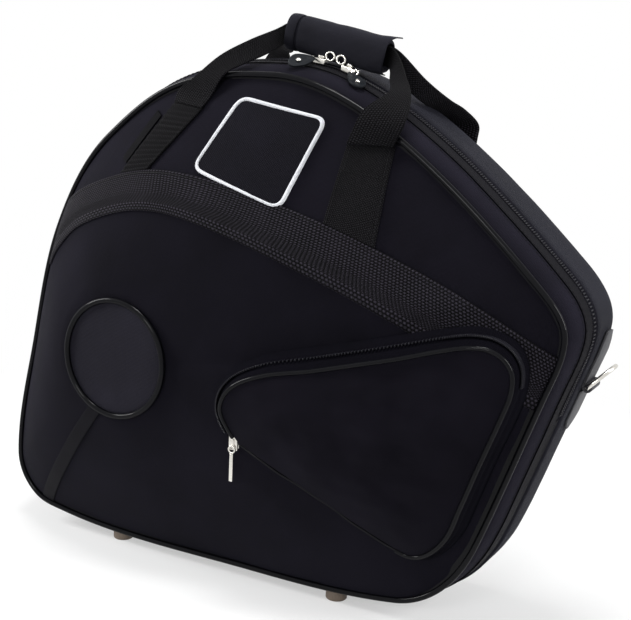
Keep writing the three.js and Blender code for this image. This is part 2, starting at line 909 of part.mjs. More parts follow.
function label() {
  const [ax, az] = place(labelShares[0]);
  const [bx, bz] = place(labelShares[1]);
  const points = stripPoints(ax, az, bx, bz, labelWidth);
  return fromManifold(onSkin(points, clothGap, clothGap + labelThickness).subtract(bandRoom));
}

addPart('label_tab', label(), 'webbing');

// Outer pocket: a slanted gusset wall, and a front panel that hinges on its lower left seam

const seamStart = new THREE.Vector2(...place(pocketSeamShares[0]));
const seamEnd = new THREE.Vector2(...place(pocketSeamShares[1]));
const seamAlong = seamEnd.clone().sub(seamStart).normalize();
const seamAway = new THREE.Vector2(-seamAlong.y, seamAlong.x);

const [pocketSliderX, pocketSliderZ] = place(pocketSliderShare);
const pocketSliderTop = clothGap + pocketSliderHeight;

function sliderBox(gap) {
  const low = pocketSliderZ - pocketSliderLength / 2 - gap;
  const high = pocketSliderZ + pocketSliderLength / 2 + gap;
  return stripPoints(pocketSliderX, low, pocketSliderX, high, pocketSliderWidth + 2 * gap);
}

function pocketSliderRoom() {
  return prism(sliderBox(2 * fitGap));
}

function pocketLift(x, z) {
  const away = seamAway.dot(new THREE.Vector2(x, z).sub(seamStart));
  const share = 1 - Math.exp(-Math.max(away, 0) / pocketRun);
  return pocketSeamDepth + (pocketDepth - pocketSeamDepth) * share;
}

function smoothPoints(shares, steps) {
  const points = shares.map((share) => new THREE.Vector3(place(share)[0], 0, place(share)[1]));
  return new THREE.CatmullRomCurve3(points).getPoints(steps);
}

const pocketSteps = 42;
const pocketEdge = smoothPoints(pocketEdgeShares, pocketSteps);
const pocketBase = smoothPoints(pocketBaseShares, pocketSteps);

function inwardOf(points, k) {
  const a = points[Math.max(k - 1, 0)];
  const b = points[Math.min(k + 1, points.length - 1)];
  return new THREE.Vector3(b.z - a.z, 0, -(b.x - a.x)).normalize();
}

// The wall from the skin to the front panel, with its thickness laid inward
function pocketWallRing(k) {
  const edge = pocketEdge[k];
  const base = pocketBase[k];
  const inward = inwardOf(pocketEdge, k);
  const low = new THREE.Vector3(base.x, skinY(base.x, base.z) + pocketWall, base.z);
  const top = skinY(edge.x, edge.z) - pocketLift(edge.x, edge.z) - pocketWall;
  const high = new THREE.Vector3(edge.x, top, edge.z);
  return [
    low,
    high,
    high.clone().addScaledVector(inward, pocketWall),
    low.clone().addScaledVector(inward, pocketWall),
  ];
}

const wallFrom = 1;

function pocketGusset() {
  const rings = pocketEdge.map((p, k) => pocketWallRing(k)).slice(wallFrom);
  const wall = toManifold(loft(rings));
  const room = skinLayer(clothGap, (x, z) => pocketLift(x, z) - fitGap);
  return fromManifold(wall.intersect(room).subtract(bandRoom).subtract(pocketSliderRoom()));
}

addPart('pocket_gusset', pocketGusset(), 'cloth');

function pocketFront() {
  const panel = pocketEdge.map((p) => [p.x, p.z]);
  const high = (x, z) => pocketLift(x, z) + pocketPanel;
  const whole = prism(panel).intersect(skinLayer(pocketLift, high));
  return fromManifold(whole.subtract(pocketSliderRoom()));
}

addPart('pocket_front', pocketFront(), 'panel');

const pipingFrom = 2;

function pathCord(points, across, radius) {
  return loft(points.map((p, k) => cordRing(p, across[k], depthAxis, radius)));
}

function pocketPiping() {
  const across = pocketEdge.map((p, k) => inwardOf(pocketEdge, k).negate());
  const centres = pocketEdge.map((p, k) => {
    const out = pocketPipingRadius + fitGap;
    const y = skinY(p.x, p.z) - pocketLift(p.x, p.z) - pocketPanel;
    return new THREE.Vector3(p.x, y, p.z).addScaledVector(across[k], out);
  });
  return pathCord(centres.slice(pipingFrom), across.slice(pipingFrom), pocketPipingRadius);
}

addPart('pocket_piping', pocketPiping(), 'piping');

const teethFrom = 2;
const teethTo = 21;

function pocketTeeth() {
  const centres = [];
  const across = [];
  for (let k = teethFrom; k <= teethTo; k += 1) {
    const edge = pocketEdge[k];
    const base = pocketBase[k];
    const out = inwardOf(pocketEdge, k).negate();
    const low = new THREE.Vector3(base.x, skinY(base.x, base.z), base.z);
    const top = skinY(edge.x, edge.z) - pocketLift(edge.x, edge.z);
    const middle = low.lerp(new THREE.Vector3(edge.x, top, edge.z), 0.5);
    middle.addScaledVector(out, pocketTeethRadius + 4 * fitGap);
    centres.push(middle);
    across.push(out);
  }
  return pathCord(centres, across, pocketTeethRadius);
}

addPart('pocket_zip_teeth', pocketTeeth(), 'teeth');

// Pocket slider at the lower end of its zip, with its pull hanging down

function pocketPull() {
  const half = pocketPullWidth / 2;
  const shape = [
    [half, 0], [-half, 0], [-half, -pocketPullLength * 0.94], [-half * 0.4, -pocketPullLength],
    [half * 0.4, -pocketPullLength], [half, -pocketPullLength * 0.94],
  ];
  const reach = [-1, 1].map((end) => skinY(pocketSliderX, pocketSliderZ + end * pocketSliderLength / 2));
  const back = Math.min(...reach) - pocketSliderTop - fitGap;
  const plate = prismGeometry(shape, back - pocketPullThickness, back);
  plate.translate(pocketSliderX, 0, pocketSliderZ);
  return plate;
}

addPart('pocket_slider', fromManifold(onSkin(sliderBox(0), clothGap, pocketSliderTop)), 'nickel');
addPart('pocket_pull', pocketPull(), 'nickel');

// Main zip sliders, riding over the teeth on the arc at the top of the case

const topShare = outlineShares[9];
const arcCentre = new THREE.Vector2(place(topShare)[0], place(topShare)[1] + sideFlare - arcRadius);
const sliderBase = arcRadius + teethTop + sliderClearance;

function onArc(geometry, angleDeg) {
  geometry.rotateY(THREE.MathUtils.degToRad(angleDeg));
  geometry.translate(arcCentre.x, 0, arcCentre.y);
  return geometry;
}

function sliderGeometry(direction) {
  const low = sliderBase - teethHeight + tapeThickness;
  const section = [
    [-sliderFront, low],
    [teethInner - sliderClearance, low],
    [teethInner - sliderClearance, sliderBase],
    [sliderRear, sliderBase],
    [sliderRear, sliderBase + sliderPlate],
    [-sliderFront, sliderBase + sliderPlate],
  ];
  const rings = [-sliderLength / 2, sliderLength / 2].map(
    (x) => section.map(([y, z]) => new THREE.Vector3(x, y, z)),
  );
  const body = toManifold(loft(rings));
  const torus = new THREE.TorusGeometry(lockLoopRadius, lockLoopWire, 6, 16);
  torus.rotateX(Math.PI / 2);
  const loopX = direction * (sliderLength / 2 + lockLoopRadius);
  torus.translate(loopX, -sliderRear, sliderBase + sliderPlate / 2);
  return fromManifold(body.add(toManifold(torus)));
}

addPart('slider_left', onArc(sliderGeometry(1), sliderLeftDeg), 'nickel');
addPart('slider_right', onArc(sliderGeometry(-1), sliderRightDeg), 'nickel');

// Teardrop pulls with a rivet, lying along the tape away from the two sliders
function pullGeometry(direction) {
  const length = pullLength - pullWidth / 2;
  const shape = [];
  for (let k = 0; k <= 8; k += 1) {
    const a = -Math.PI / 2 + Math.PI * k / 8;
    shape.push([length + pullWidth / 2 * Math.cos(a), pullWidth / 2 * Math.sin(a)]);
  }
  shape.push([0, pullWidth / 2], [0, 0]);
  const start = -sliderLength / 4;
  const middle = -sliderFront - fitGap - pullWidth / 2;
  const low = arcRadius + tapeTop + fitGap;
  const outlinePoints = shape.map(([x, y]) => new THREE.Vector2(direction * (start + x), middle + y));
  const plate = new THREE.ExtrudeGeometry(new THREE.Shape(outlinePoints), {
    depth: pullThickness,
    bevelEnabled: false,
  });
  plate.translate(0, 0, low);
  return plate;
}

addPart('pull_left', onArc(pullGeometry(-1), sliderLeftDeg), 'leather');
addPart('pull_right', onArc(pullGeometry(1), sliderRightDeg), 'leather');

// Carrying handles: webbing ribbons that narrow and run through the padded wrap. Each edge of a
// ribbon is a curve through the shares above.

function place3([xShare, yShare, zShare]) {
  const [x, z] = place([xShare, Math.min(zShare, 1)]);
  const y = yShare * (yShare < 0 ? lidRimDepth : backDepth);
  return new THREE.Vector3(x, y, z + Math.max(zShare - 1, 0) * handleRise);
}

const wrapStart = place3(wrapStartShare);
const wrapEnd = place3(wrapEndShare);
const wrapAlong = wrapEnd.clone().sub(wrapStart).normalize();
const wrapUp = new THREE.Vector3().crossVectors(wrapAlong, depthAxis);

function wrapRing(centre, radius) {
  const ring = [];
  for (let k = 0; k < wrapSides; k += 1) {
    const a = 2 * Math.PI * k / wrapSides;
    const p = centre.clone();
    p.addScaledVector(depthAxis, radius * Math.cos(a));
    p.addScaledVector(wrapUp, radius * Math.sin(a));
    ring.push(p);
  }
  return ring;
}

function handleWrap() {
  const inner = wrapRadius - wrapWall;
  return loft([
    wrapRing(wrapStart, wrapRadius),
    wrapRing(wrapEnd, wrapRadius),
    wrapRing(wrapEnd, inner),
    wrapRing(wrapStart, inner),
  ], true);
}

addPart('handle_wrap', handleWrap(), 'webbing');

function inWrap(share, side, height) {
  const p = wrapStart.clone().lerp(wrapEnd, share);
  p.addScaledVector(depthAxis, side * (ribbonSpacing + ribbonThickness) / 2);
  return p.addScaledVector(wrapUp, height * foldedWidth / 2);
}

function ribbonEdge(left, right, side, height) {
  const inside = insideShares.map((share) => inWrap(share, side, height));
  const points = left.concat(inside, right);
  const curve = new THREE.CatmullRomCurve3(points, false, 'centripetal');
  return curve.getPoints((points.length - 1) * ribbonSteps);
}

function ribbon(outer, inner) {
  const rings = outer.map((a, k) => {
    const b = inner[k];
    const before = Math.max(k - 1, 0);
    const after = Math.min(k + 1, outer.length - 1);
    const from = outer[before].clone().add(inner[before]);
    const heading = outer[after].clone().add(inner[after]).sub(from);
    const normal = heading.cross(b.clone().sub(a)).setLength(ribbonThickness / 2);
    return [
      a.clone().add(normal), b.clone().add(normal), b.clone().sub(normal), a.clone().sub(normal),
    ];
  });
  return loft(rings);
}

// A strap's sewn end, from which the free ribbon starts
function fromSkin([xShare, zShare]) {
  const [x, z] = place([xShare, zShare]);
  const lift = webbingTop + fitGap + ribbonThickness / 2;
  return new THREE.Vector3(x, Math.min(skinY(x, z) - lift, -lidRimDepth - pipingClear), z);
}

const ribbonStart = ribbonGap / caseHeight;

function started([x, z]) {
  return fromSkin([x, z + ribbonStart]);
}

const frontOuter = ribbonEdge(
  [started(strapLeftShares[3])].concat(frontLeftOuterShares.map(place3)),
  frontRightOuterShares.map(place3).concat([started(strapRightShares[2])]), -1, 1);
const frontInner = ribbonEdge(
  [started(strapLeftShares[2])].concat(frontLeftInnerShares.map(place3)),
  frontRightInnerShares.map(place3).concat([started(strapRightShares[3])]), -1, -1);
addPart('front_handle_loop', ribbon(frontOuter, frontInner), 'webbing');

const rearOuter = ribbonEdge(rearLeftOuterShares.map(place3), rearRightOuterShares.map(place3), 1, 1);
const rearInner = ribbonEdge(rearLeftInnerShares.map(place3), rearRightInnerShares.map(place3), 1, -1);
addPart('rear_handle_loop', ribbon(rearOuter, rearInner), 'webbing');

// Sewn feet of the rear handle, flat on the back below the free ribbon's ends
function rearStrap(outerEnd, innerEnd) {
  const across = innerEnd.clone().sub(outerEnd);
  const down = new THREE.Vector2(across.z, -across.x).normalize();
  down.multiplyScalar(down.y > 0 ? -1 : 1);
  const start = ribbonGap;
  const reach = rearStrapLength;
  const points = [
    [outerEnd.x + down.x * start, outerEnd.z + down.y * start],
    [outerEnd.x + down.x * reach, outerEnd.z + down.y * reach],
    [innerEnd.x + down.x * reach, innerEnd.z + down.y * reach],
    [innerEnd.x + down.x * start, innerEnd.z + down.y * start],
  ];
  const front = backDepth + fitGap;
  return prismGeometry(points, front, front + webbingThickness);
}

addPart('rear_strap_left', rearStrap(rearOuter[0], rearInner[0]), 'webbing');
addPart('rear_strap_right', rearStrap(rearOuter[rearOuter.length - 1],
  rearInner[rearInner.length - 1]), 'webbing');

// Strap rings on the rear wall, each held by a keeper between two sewn tabs

const lengths = [0];
outline.forEach((s, i) => {
  const next = outline[(i + 1) % count];
  lengths.push(lengths[i] + Math.hypot(next.x - s.x, next.z - s.z));
});

// The wall at a distance along the outline from one of its points
function wallAt(start, distance) {
  const whole = lengths[count];
  const length = (lengths[start] + distance + whole) % whole;
  let i = 0;
  while (lengths[i + 1] < length) {
    i += 1;
  }
  const share = (length - lengths[i]) / (lengths[i + 1] - lengths[i]);
  const a = outline[i];
  const b = outline[(i + 1) % count];
  const mix = (key) => a[key] + (b[key] - a[key]) * share;
  return { x: mix('x'), z: mix('z'), nx: mix('nx'), nz: mix('nz'), flare: mix('flare') };
}

// A strip on the rear wall, drawn in towards its far end as the shares say
function wallTab(start, from, to, widthShares) {
  const steps = widthShares.length - 1;
  const rings = widthShares.map((share, k) => {
    const s = wallAt(start, from + (to - from) * k / steps);
    const half = patchStripWidth * share / 2;
    const section = bandSection(ringY - half, ringY + half, fitGap, fitGap + ringPatchThickness);
    return section.map(([y, lift]) => at(s, s.flare + rearLip + lift, y));
  });
  return loft(rings);
}

const ringY = backDepth / 2;
const barLift = fitGap + keeperWall + keeperGap + ringWire;

function ringFrame(start) {
  const s = wallAt(start, 0);
  const outward = new THREE.Vector3(s.nx, 0, s.nz);
  const centre = at(s, s.flare + rearLip + barLift, ringY);
  const up = new THREE.Vector3(-s.nz, 0, s.nx);
  up.multiplyScalar(up.z < 0 ? -1 : 1);
  const lift = THREE.MathUtils.degToRad(ringLiftDeg);
  const reach = outward.clone().multiplyScalar(Math.cos(lift));
  reach.addScaledVector(up, Math.sin(lift));
  return { centre, reach, upward: up.z > 0 && s.nx > 0 ? 1 : -1 };
}

// A D-shaped ring: a straight bar along Y, and a half ellipse from one of its ends to the other
function ringLoop(frame) {
  const half = ringWidth / 2 - ringWire;
  const normal = new THREE.Vector3().crossVectors(depthAxis, frame.reach).normalize();
  const centres = [];
  for (let k = 0; k <= 16; k += 1) {
    const a = Math.PI * k / 16;
    const p = frame.centre.clone().addScaledVector(depthAxis, half * Math.cos(a));
    centres.push(p.addScaledVector(frame.reach, ringReach * Math.sin(a)));
  }
  const rings = centres.map((p, k) => {
    const before = centres[(k + 16) % 17];
    const after = centres[(k + 1) % 17];
    const heading = after.clone().sub(before).normalize();
    const across = new THREE.Vector3().crossVectors(heading, normal);
    return cordRing(p, across, normal, ringWire);
  });
  return loft(rings, true);
}

function alongY(radius, length, centre) {
  const rod = new THREE.CylinderGeometry(radius, radius, length, 20);
  rod.translate(centre.x, centre.y, centre.z);
  return toManifold(rod);
}

const keeperRadius = ringWire + keeperGap + keeperWall;
const roundedShares = [1, 1, 1, 1, 0.96, 0.8, 0.45];
const pointedShares = [1, 1, 1, 1, 1, 0.7, 0.12];

function strapRing(side, start) {
  const frame = ringFrame(start);
  const up = frame.upward;
  const strip = toManifold(wallTab(start, 0, up * ringPatchLength / 2, roundedShares));
  const keeper = alongY(keeperRadius, keeperWidth, frame.centre);
  const bore = alongY(ringWire + keeperGap, ringWidth, frame.centre);
  addPart(`ring_tab_${side}_upper`, fromManifold(strip.add(keeper).subtract(bore)), 'vinyl');
  const below = -up * (keeperRadius + fitGap);
  addPart(`ring_tab_${side}_lower`,
    wallTab(start, below, -up * ringPatchLength / 2, pointedShares), 'vinyl');
  addPart(`dring_${side}`, ringLoop(frame), 'nickel');
}

strapRing('right', nearest(ringRightShare));
strapRing('left', nearest(ringLeftShare));

// Glides under both halves

const lidBody = toManifold(loft(skinRings.slice().reverse().concat(
  [2, 1, 0].map((k) => outlineRing((s) => s.flare * lidProfile[k][1] + fitGap, -lidProfile[k][0])),
)));
const rearBody = toManifold(loft(
  rearProfile.map(([y, f]) => outlineRing((s) => s.flare + rearLip * f + fitGap, y)),
));
const floorLevel = -(sideFlare * bottomFlareShare + rearLip + footHeight);

function foot(xShare, y, body) {
  const x = xShare * caseWidth / 2;
  const glide = new THREE.LatheGeometry([
    new THREE.Vector2(0, 0),
    new THREE.Vector2(footRadius - footEdge, 0),
    new THREE.Vector2(footRadius, footEdge),
    new THREE.Vector2(footRadius, footHeight * 3),
    new THREE.Vector2(0, footHeight * 3),
  ], 24);
  glide.rotateX(Math.PI / 2);
  glide.translate(x, y, floorLevel);
  return fromManifold(toManifold(glide).subtract(body));
}

const footFrontY = tapeFront - footRadius - footEdge;
const footRearY = backDepth * 0.56;
addPart('foot_front_left', foot(footXShares[0], footFrontY, lidBody), 'glide');
addPart('foot_front_right', foot(footXShares[1], footFrontY, lidBody), 'glide');
addPart('foot_rear_left', foot(footXShares[0], footRearY, rearBody), 'glide');
addPart('foot_rear_right', foot(footXShares[1], footRearY, rearBody), 'glide');

// The origin is under the middle of the whole case, where it stands

const box = new THREE.Box3().setFromObject(group);
group.children.forEach((mesh) => {
  mesh.geometry.translate(-(box.min.x + box.max.x) / 2, -(box.min.y + box.max.y) / 2, -box.min.z);
});

export default group;
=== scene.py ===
# Soft french horn case: cloth-covered lid and rear half, piping, webbing, outer pocket, padded
# grip and zip. Sizes are in millimetres until spot() and MM turn them into metres.
import math

import bmesh
import bpy
import numpy as np
from mathutils import Matrix, Vector, noise
from mathutils.bvhtree import BVHTree


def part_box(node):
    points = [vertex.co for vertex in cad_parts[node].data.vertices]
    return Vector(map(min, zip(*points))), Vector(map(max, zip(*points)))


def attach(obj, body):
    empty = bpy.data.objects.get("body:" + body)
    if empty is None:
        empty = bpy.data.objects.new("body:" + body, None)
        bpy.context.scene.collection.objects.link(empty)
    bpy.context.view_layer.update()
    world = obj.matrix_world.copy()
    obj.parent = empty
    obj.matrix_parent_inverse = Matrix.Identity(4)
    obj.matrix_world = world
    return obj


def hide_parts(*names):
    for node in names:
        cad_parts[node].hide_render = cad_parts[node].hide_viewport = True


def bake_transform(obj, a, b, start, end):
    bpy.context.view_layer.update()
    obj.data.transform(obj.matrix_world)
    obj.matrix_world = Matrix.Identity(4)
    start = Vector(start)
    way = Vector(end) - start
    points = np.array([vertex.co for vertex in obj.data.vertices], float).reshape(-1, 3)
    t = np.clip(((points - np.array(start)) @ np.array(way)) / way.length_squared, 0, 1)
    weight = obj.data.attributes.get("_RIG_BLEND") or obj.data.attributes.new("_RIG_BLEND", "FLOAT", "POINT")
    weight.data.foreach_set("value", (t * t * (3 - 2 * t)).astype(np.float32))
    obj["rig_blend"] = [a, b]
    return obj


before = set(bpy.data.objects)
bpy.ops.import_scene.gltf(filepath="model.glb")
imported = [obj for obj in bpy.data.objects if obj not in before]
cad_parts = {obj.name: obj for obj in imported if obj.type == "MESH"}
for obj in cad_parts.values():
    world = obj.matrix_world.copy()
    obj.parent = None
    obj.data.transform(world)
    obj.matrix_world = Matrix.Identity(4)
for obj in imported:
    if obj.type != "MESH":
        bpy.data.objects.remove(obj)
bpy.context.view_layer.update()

MM = 0.001
HALF_WIDTH, HEIGHT = 270.0, 437.0
LID_RIM, DOME, BACK = 39.0, 53.0, 72.0
HANDLE_RISE = 36.0
FLARE = 12.0
FLOOR_SHIFT = Vector((-4.74, 14.82, 12.80))
DEPTH = Vector((0.0, 1.0, 0.0))
scene = bpy.context.scene


def spot(x, y, z):
    return (Vector((x, y, z)) + FLOOR_SHIFT) * MM


def placed(share):
    return share[0] * HALF_WIDTH, share[1] * HEIGHT


def line_of(shares):
    return [Vector(placed(share)) for share in shares]


# Camera, at the photograph's angle

camera_data = bpy.data.cameras.new("camera")
camera = bpy.data.objects.new("camera", camera_data)
scene.collection.objects.link(camera)
camera_data.lens = 67.67
camera_data.sensor_width = 36.0
camera_right = Vector((0.8761, 0.4799, 0.0454))
camera_up = Vector((-0.1411, 0.1651, 0.9761))
camera_back = Vector((0.461, -0.8616, 0.2124))
camera_turn = Matrix((camera_right, camera_up, camera_back)).transposed().to_4x4()
camera_place = spot(516.0, -899.1, 457.9)
camera.matrix_world = Matrix.Translation(camera_place) @ camera_turn
scene.camera = camera


# Shader groups shared by the finishes


def start_group(name, vectors, values, outputs):
    tree = bpy.data.node_groups.new(name, "ShaderNodeTree")
    sockets = [(label, "INPUT", "NodeSocketVector") for label in vectors]
    sockets += [(label, "INPUT", "NodeSocketFloat") for label in values]
    sockets += [(label, "OUTPUT", "NodeSocketFloat") for label in outputs]
    for label, side, kind in sockets:
        tree.interface.new_socket(label, in_out=side, socket_type=kind)
    return tree, tree.nodes.new("NodeGroupInput"), tree.nodes.new("NodeGroupOutput")


def feed(tree, value, socket):
    if isinstance(value, bpy.types.NodeSocket):
        tree.links.new(value, socket)
    else:
        socket.default_value = value


def new_node(tree, kind, operation=None, **inputs):
    node = tree.nodes.new("ShaderNode" + kind)
    if operation:
        node.operation = operation
    for label, value in inputs.items():
        feed(tree, value, node.inputs[label.replace("_", " ")])
    return node


def maths(tree, operation, *values):
    node = new_node(tree, "Math", operation)
    for value, socket in zip(values, node.inputs):
        feed(tree, value, socket)
    return node.outputs[0]


def weighed(tree, start, *parts):
    """The start value plus each part times its weight."""
    for value, weight in parts:
        start = maths(tree, "MULTIPLY_ADD", value, weight, start)
    return start


def in_steps(tree, vector, size):
    """A vector counted in steps of a size, such as the pitch of a weave."""
    rate = maths(tree, "DIVIDE", 1.0, size)
    return new_node(tree, "VectorMath", "SCALE", Vector=vector, Scale=rate).outputs[0]


def split(tree, vector):
    return new_node(tree, "SeparateXYZ", Vector=vector).outputs


def noise_of(tree, vector, scale, detail=2.0, roughness=0.5):
    node = new_node(tree, "TexNoise", Vector=vector, Scale=scale, Detail=detail, Roughness=roughness)
    return node.outputs["Fac"]


def ridges(tree, value, rate=math.pi):
    """Rounded ridges, one to each unit of the value unless a rate is given."""
    return maths(tree, "ABSOLUTE", maths(tree, "SINE", maths(tree, "MULTIPLY", value, rate)))


def crossing(tree, a, b):
    return maths(tree, "MULTIPLY", ridges(tree, a), ridges(tree, b))


def build_plain_weave():
    """Threads crossing one over one, laid on whichever way the cloth faces."""
    tree, start, end = start_group("plain weave", ["Vector", "Normal"], ["Pitch"], ["Height"])
    vector, normal = start.outputs["Vector"], start.outputs["Normal"]
    x, y, z = split(tree, in_steps(tree, vector, start.outputs["Pitch"]))
    side, front, top = [maths(tree, "MULTIPLY", share, share) for share in split(tree, normal)]
    front = maths(tree, "MULTIPLY", crossing(tree, x, z), front)
    side = maths(tree, "MULTIPLY", crossing(tree, y, z), side)
    top = maths(tree, "MULTIPLY", crossing(tree, x, y), top)
    total = maths(tree, "ADD", maths(tree, "ADD", front, side), top)
    uneven = maths(tree, "ADD", noise_of(tree, vector, 900.0), 0.5)
    tree.links.new(maths(tree, "MULTIPLY", total, uneven), end.inputs[0])
    return tree


def build_twill():
    """Fine diagonal ribs, for the panels that face the front."""
    tree, start, end = start_group("diagonal twill", ["Vector"], ["Pitch"], ["Height"])
    x, _, z = split(tree, in_steps(tree, start.outputs["Vector"], start.outputs["Pitch"]))
    rib = ridges(tree, maths(tree, "ADD", x, z))
    step = maths(tree, "SUBTRACT", x, z)
    notch = maths(tree, "SINE", maths(tree, "MULTIPLY", step, 2.0 * math.pi))
    knots = weighed(tree, 0.75, (notch, 0.25))
    tree.links.new(maths(tree, "MULTIPLY", rib, knots), end.inputs[0])
    return tree


def build_webbing():
    """Lengthwise columns of short floats, each column half a step on from its neighbour."""
    tree, start, end = start_group("webbing weave", ["Vector"], ["Column", "Float"], ["Height"])
    x, y, _ = split(tree, start.outputs["Vector"])
    row = maths(tree, "DIVIDE", y, start.outputs["Column"])
    step = maths(tree, "DIVIDE", x, start.outputs["Float"])
    shifted = weighed(tree, step, (maths(tree, "FLOOR", row), 0.5))
    tree.links.new(crossing(tree, shifted, row), end.inputs[0])
    return tree


def build_wear():
    """Broad unevenness of the dye and the handling, 0 to 1, and small specks of lint."""
    tree, start, end = start_group("handling", ["Vector"], ["Scale"], ["Patches", "Lint"])
    vector, scale = start.outputs["Vector"], start.outputs["Scale"]
    tree.links.new(noise_of(tree, vector, scale, 4.0, 0.6), end.inputs[0])
    specks = noise_of(tree, vector, 700.0, 1.0)
    lint = maths(tree, "MULTIPLY", maths(tree, "SUBTRACT", specks, 0.72), 12.0)
    lint = maths(tree, "MINIMUM", maths(tree, "MAXIMUM", lint, 0.0), 1.0)
    tree.links.new(lint, end.inputs[1])
    return tree


def build_pebble():
    """Rounded pebbles of leather and vinyl."""
    tree, start, end = start_group("pebble grain", ["Vector"], ["Size"], ["Height"])
    vector = in_steps(tree, start.outputs["Vector"], start.outputs["Size"])
    cells = new_node(tree, "TexVoronoi", Vector=vector, Scale=1.0)
    tree.links.new(maths(tree, "SUBTRACT", 1.0, cells.outputs["Distance"]), end.inputs[0])
    return tree


plain_weave = build_plain_weave()
diagonal_twill = build_twill()
webbing_weave = build_webbing()
handling = build_wear()
pebble_grain = build_pebble()


def use_group(tree, group, **inputs):
    node = tree.nodes.new("ShaderNodeGroup")
    node.node_tree = group
    for label, value in inputs.items():
        feed(tree, value, node.inputs[label])
    return node.outputs


# Finishes


def finish_tree(name, roughness, **sockets):
    material = bpy.data.materials.new(name)
    material.use_nodes = True
    tree = material.node_tree
    shader = tree.nodes["Principled BSDF"]
    shader.inputs["Roughness"].default_value = roughness
    for label, value in sockets.items():
        shader.inputs[label.replace("_", " ")].default_value = value
    return material, tree, shader, tree.nodes.new("ShaderNodeTexCoord")


def dress(tree, shader, shade, dark, light, roughness, height, depth):
    """Gives a shader its colour between dark and light, its roughness and its relief."""
    mix = tree.nodes.new("ShaderNodeMix")
    mix.data_type = "RGBA"
    feed(tree, shade, mix.inputs["Factor"])
    feed(tree, (*dark, 1.0), mix.inputs["A"])
    feed(tree, (*light, 1.0), mix.inputs["B"])
    tree.links.new(mix.outputs["Result"], shader.inputs["Base Color"])
    feed(tree, roughness, shader.inputs["Roughness"])
    bump = new_node(tree, "Bump", Distance=depth, Strength=1.0, Height=height)
    tree.links.new(bump.outputs[0], shader.inputs["Normal"])


def cloth_finish(name, dark, light, pitch, depth, roughness, sheen, shine, twill=False, front=1.0):
    """Woven cloth; where front is below one, the faces that look forward are darker: painted shade, which
    leaves the side walls lighter as painted sheen.
    """
    material, tree, shader, where = finish_tree(
        name, roughness, Sheen_Weight=sheen, Sheen_Roughness=0.45,
        Sheen_Tint=(0.75, 0.8, 1.0, 1.0), Specular_IOR_Level=shine,
    )
    place, normal = where.outputs["Object"], where.outputs["Normal"]
    if twill:
        weave = use_group(tree, diagonal_twill, Vector=place, Pitch=pitch)
    else:
        weave = use_group(tree, plain_weave, Vector=place, Normal=normal, Pitch=pitch)
    wear = use_group(tree, handling, Vector=place, Scale=16.0)
    shade = weighed(tree, -0.1, (wear["Patches"], 0.8), (weave["Height"], 0.5), (wear["Lint"], 0.35))
    # Painted shade: faces are darkened by how far they look forward, so the side walls read lighter as
    # painted sheen.
    if front < 1.0:
        facing = maths(tree, "POWER", maths(tree, "ABSOLUTE", split(tree, normal)[1]), 2.0)
        shade = maths(tree, "MULTIPLY", shade, weighed(tree, 1.0, (facing, front - 1.0)))
    rough = weighed(tree, roughness - 0.12, (wear["Patches"], 0.25))
    dress(tree, shader, shade, dark, light, rough, weave["Height"], depth)
    return material


def webbing_finish(name, dark, light, column, float_length, depth=0.0009):
    material, tree, shader, where = finish_tree(
        name, 0.55, Sheen_Weight=0.01, Sheen_Roughness=0.4, Specular_IOR_Level=0.05,
    )
    weave = use_group(tree, webbing_weave, Vector=where.outputs["UV"], Column=column, Float=float_length)
    wear = use_group(tree, handling, Vector=where.outputs["Object"], Scale=30.0)
    floats = maths(tree, "POWER", weave["Height"], 1.6)
    shade = weighed(tree, -0.15, (wear["Patches"], 0.3), (floats, 1.1))
    dress(tree, shader, shade, dark, light, weighed(tree, 0.7, (floats, -0.2)), weave["Height"], depth)
    return material


def plastic_finish(name, dark, light, roughness, grain=0.0008, depth=0.00005, **sockets):
    material, tree, shader, where = finish_tree(name, roughness, **sockets)
    place = where.outputs["Object"]
    pebbles = use_group(tree, pebble_grain, Vector=place, Size=grain)
    patches = use_group(tree, handling, Vector=place, Scale=60.0)["Patches"]
    rough = weighed(tree, roughness - 0.1, (patches, 0.2))
    dress(tree, shader, patches, dark, light, rough, pebbles["Height"], depth)
    return material


def metal_finish(name, dark, light, roughness):
    material, tree, shader, where = finish_tree(name, roughness, Metallic=1.0)
    place = where.outputs["Object"]
    patches = use_group(tree, handling, Vector=place, Scale=180.0)["Patches"]
    rough = weighed(tree, roughness - 0.12, (patches, 0.3))
    scratches = noise_of(tree, place, 2500.0, 3.0)
    dress(tree, shader, patches, dark, light, rough, scratches, 0.00002)
    return material


def thread_finish(name, dark, light, pitch, shine):
    """Satin stitches that lie side by side across the strip."""
    material, tree, shader, where = finish_tree(name, 0.5, Specular_IOR_Level=shine)
    ridge = ridges(tree, split(tree, where.outputs["UV"])[0], math.pi / pitch)
    uneven = noise_of(tree, where.outputs["Object"], 800.0)
    shade = weighed(tree, maths(tree, "MULTIPLY", ridge, 0.6), (uneven, 0.5))
    dress(tree, shader, shade, dark, light, 0.5, ridge, 0.0003)
    return material


def tone(red, green, blue):
    """A colour in ten-thousandths of full light, since most finishes here are nearly black."""
    return red / 10000, green / 10000, blue / 10000


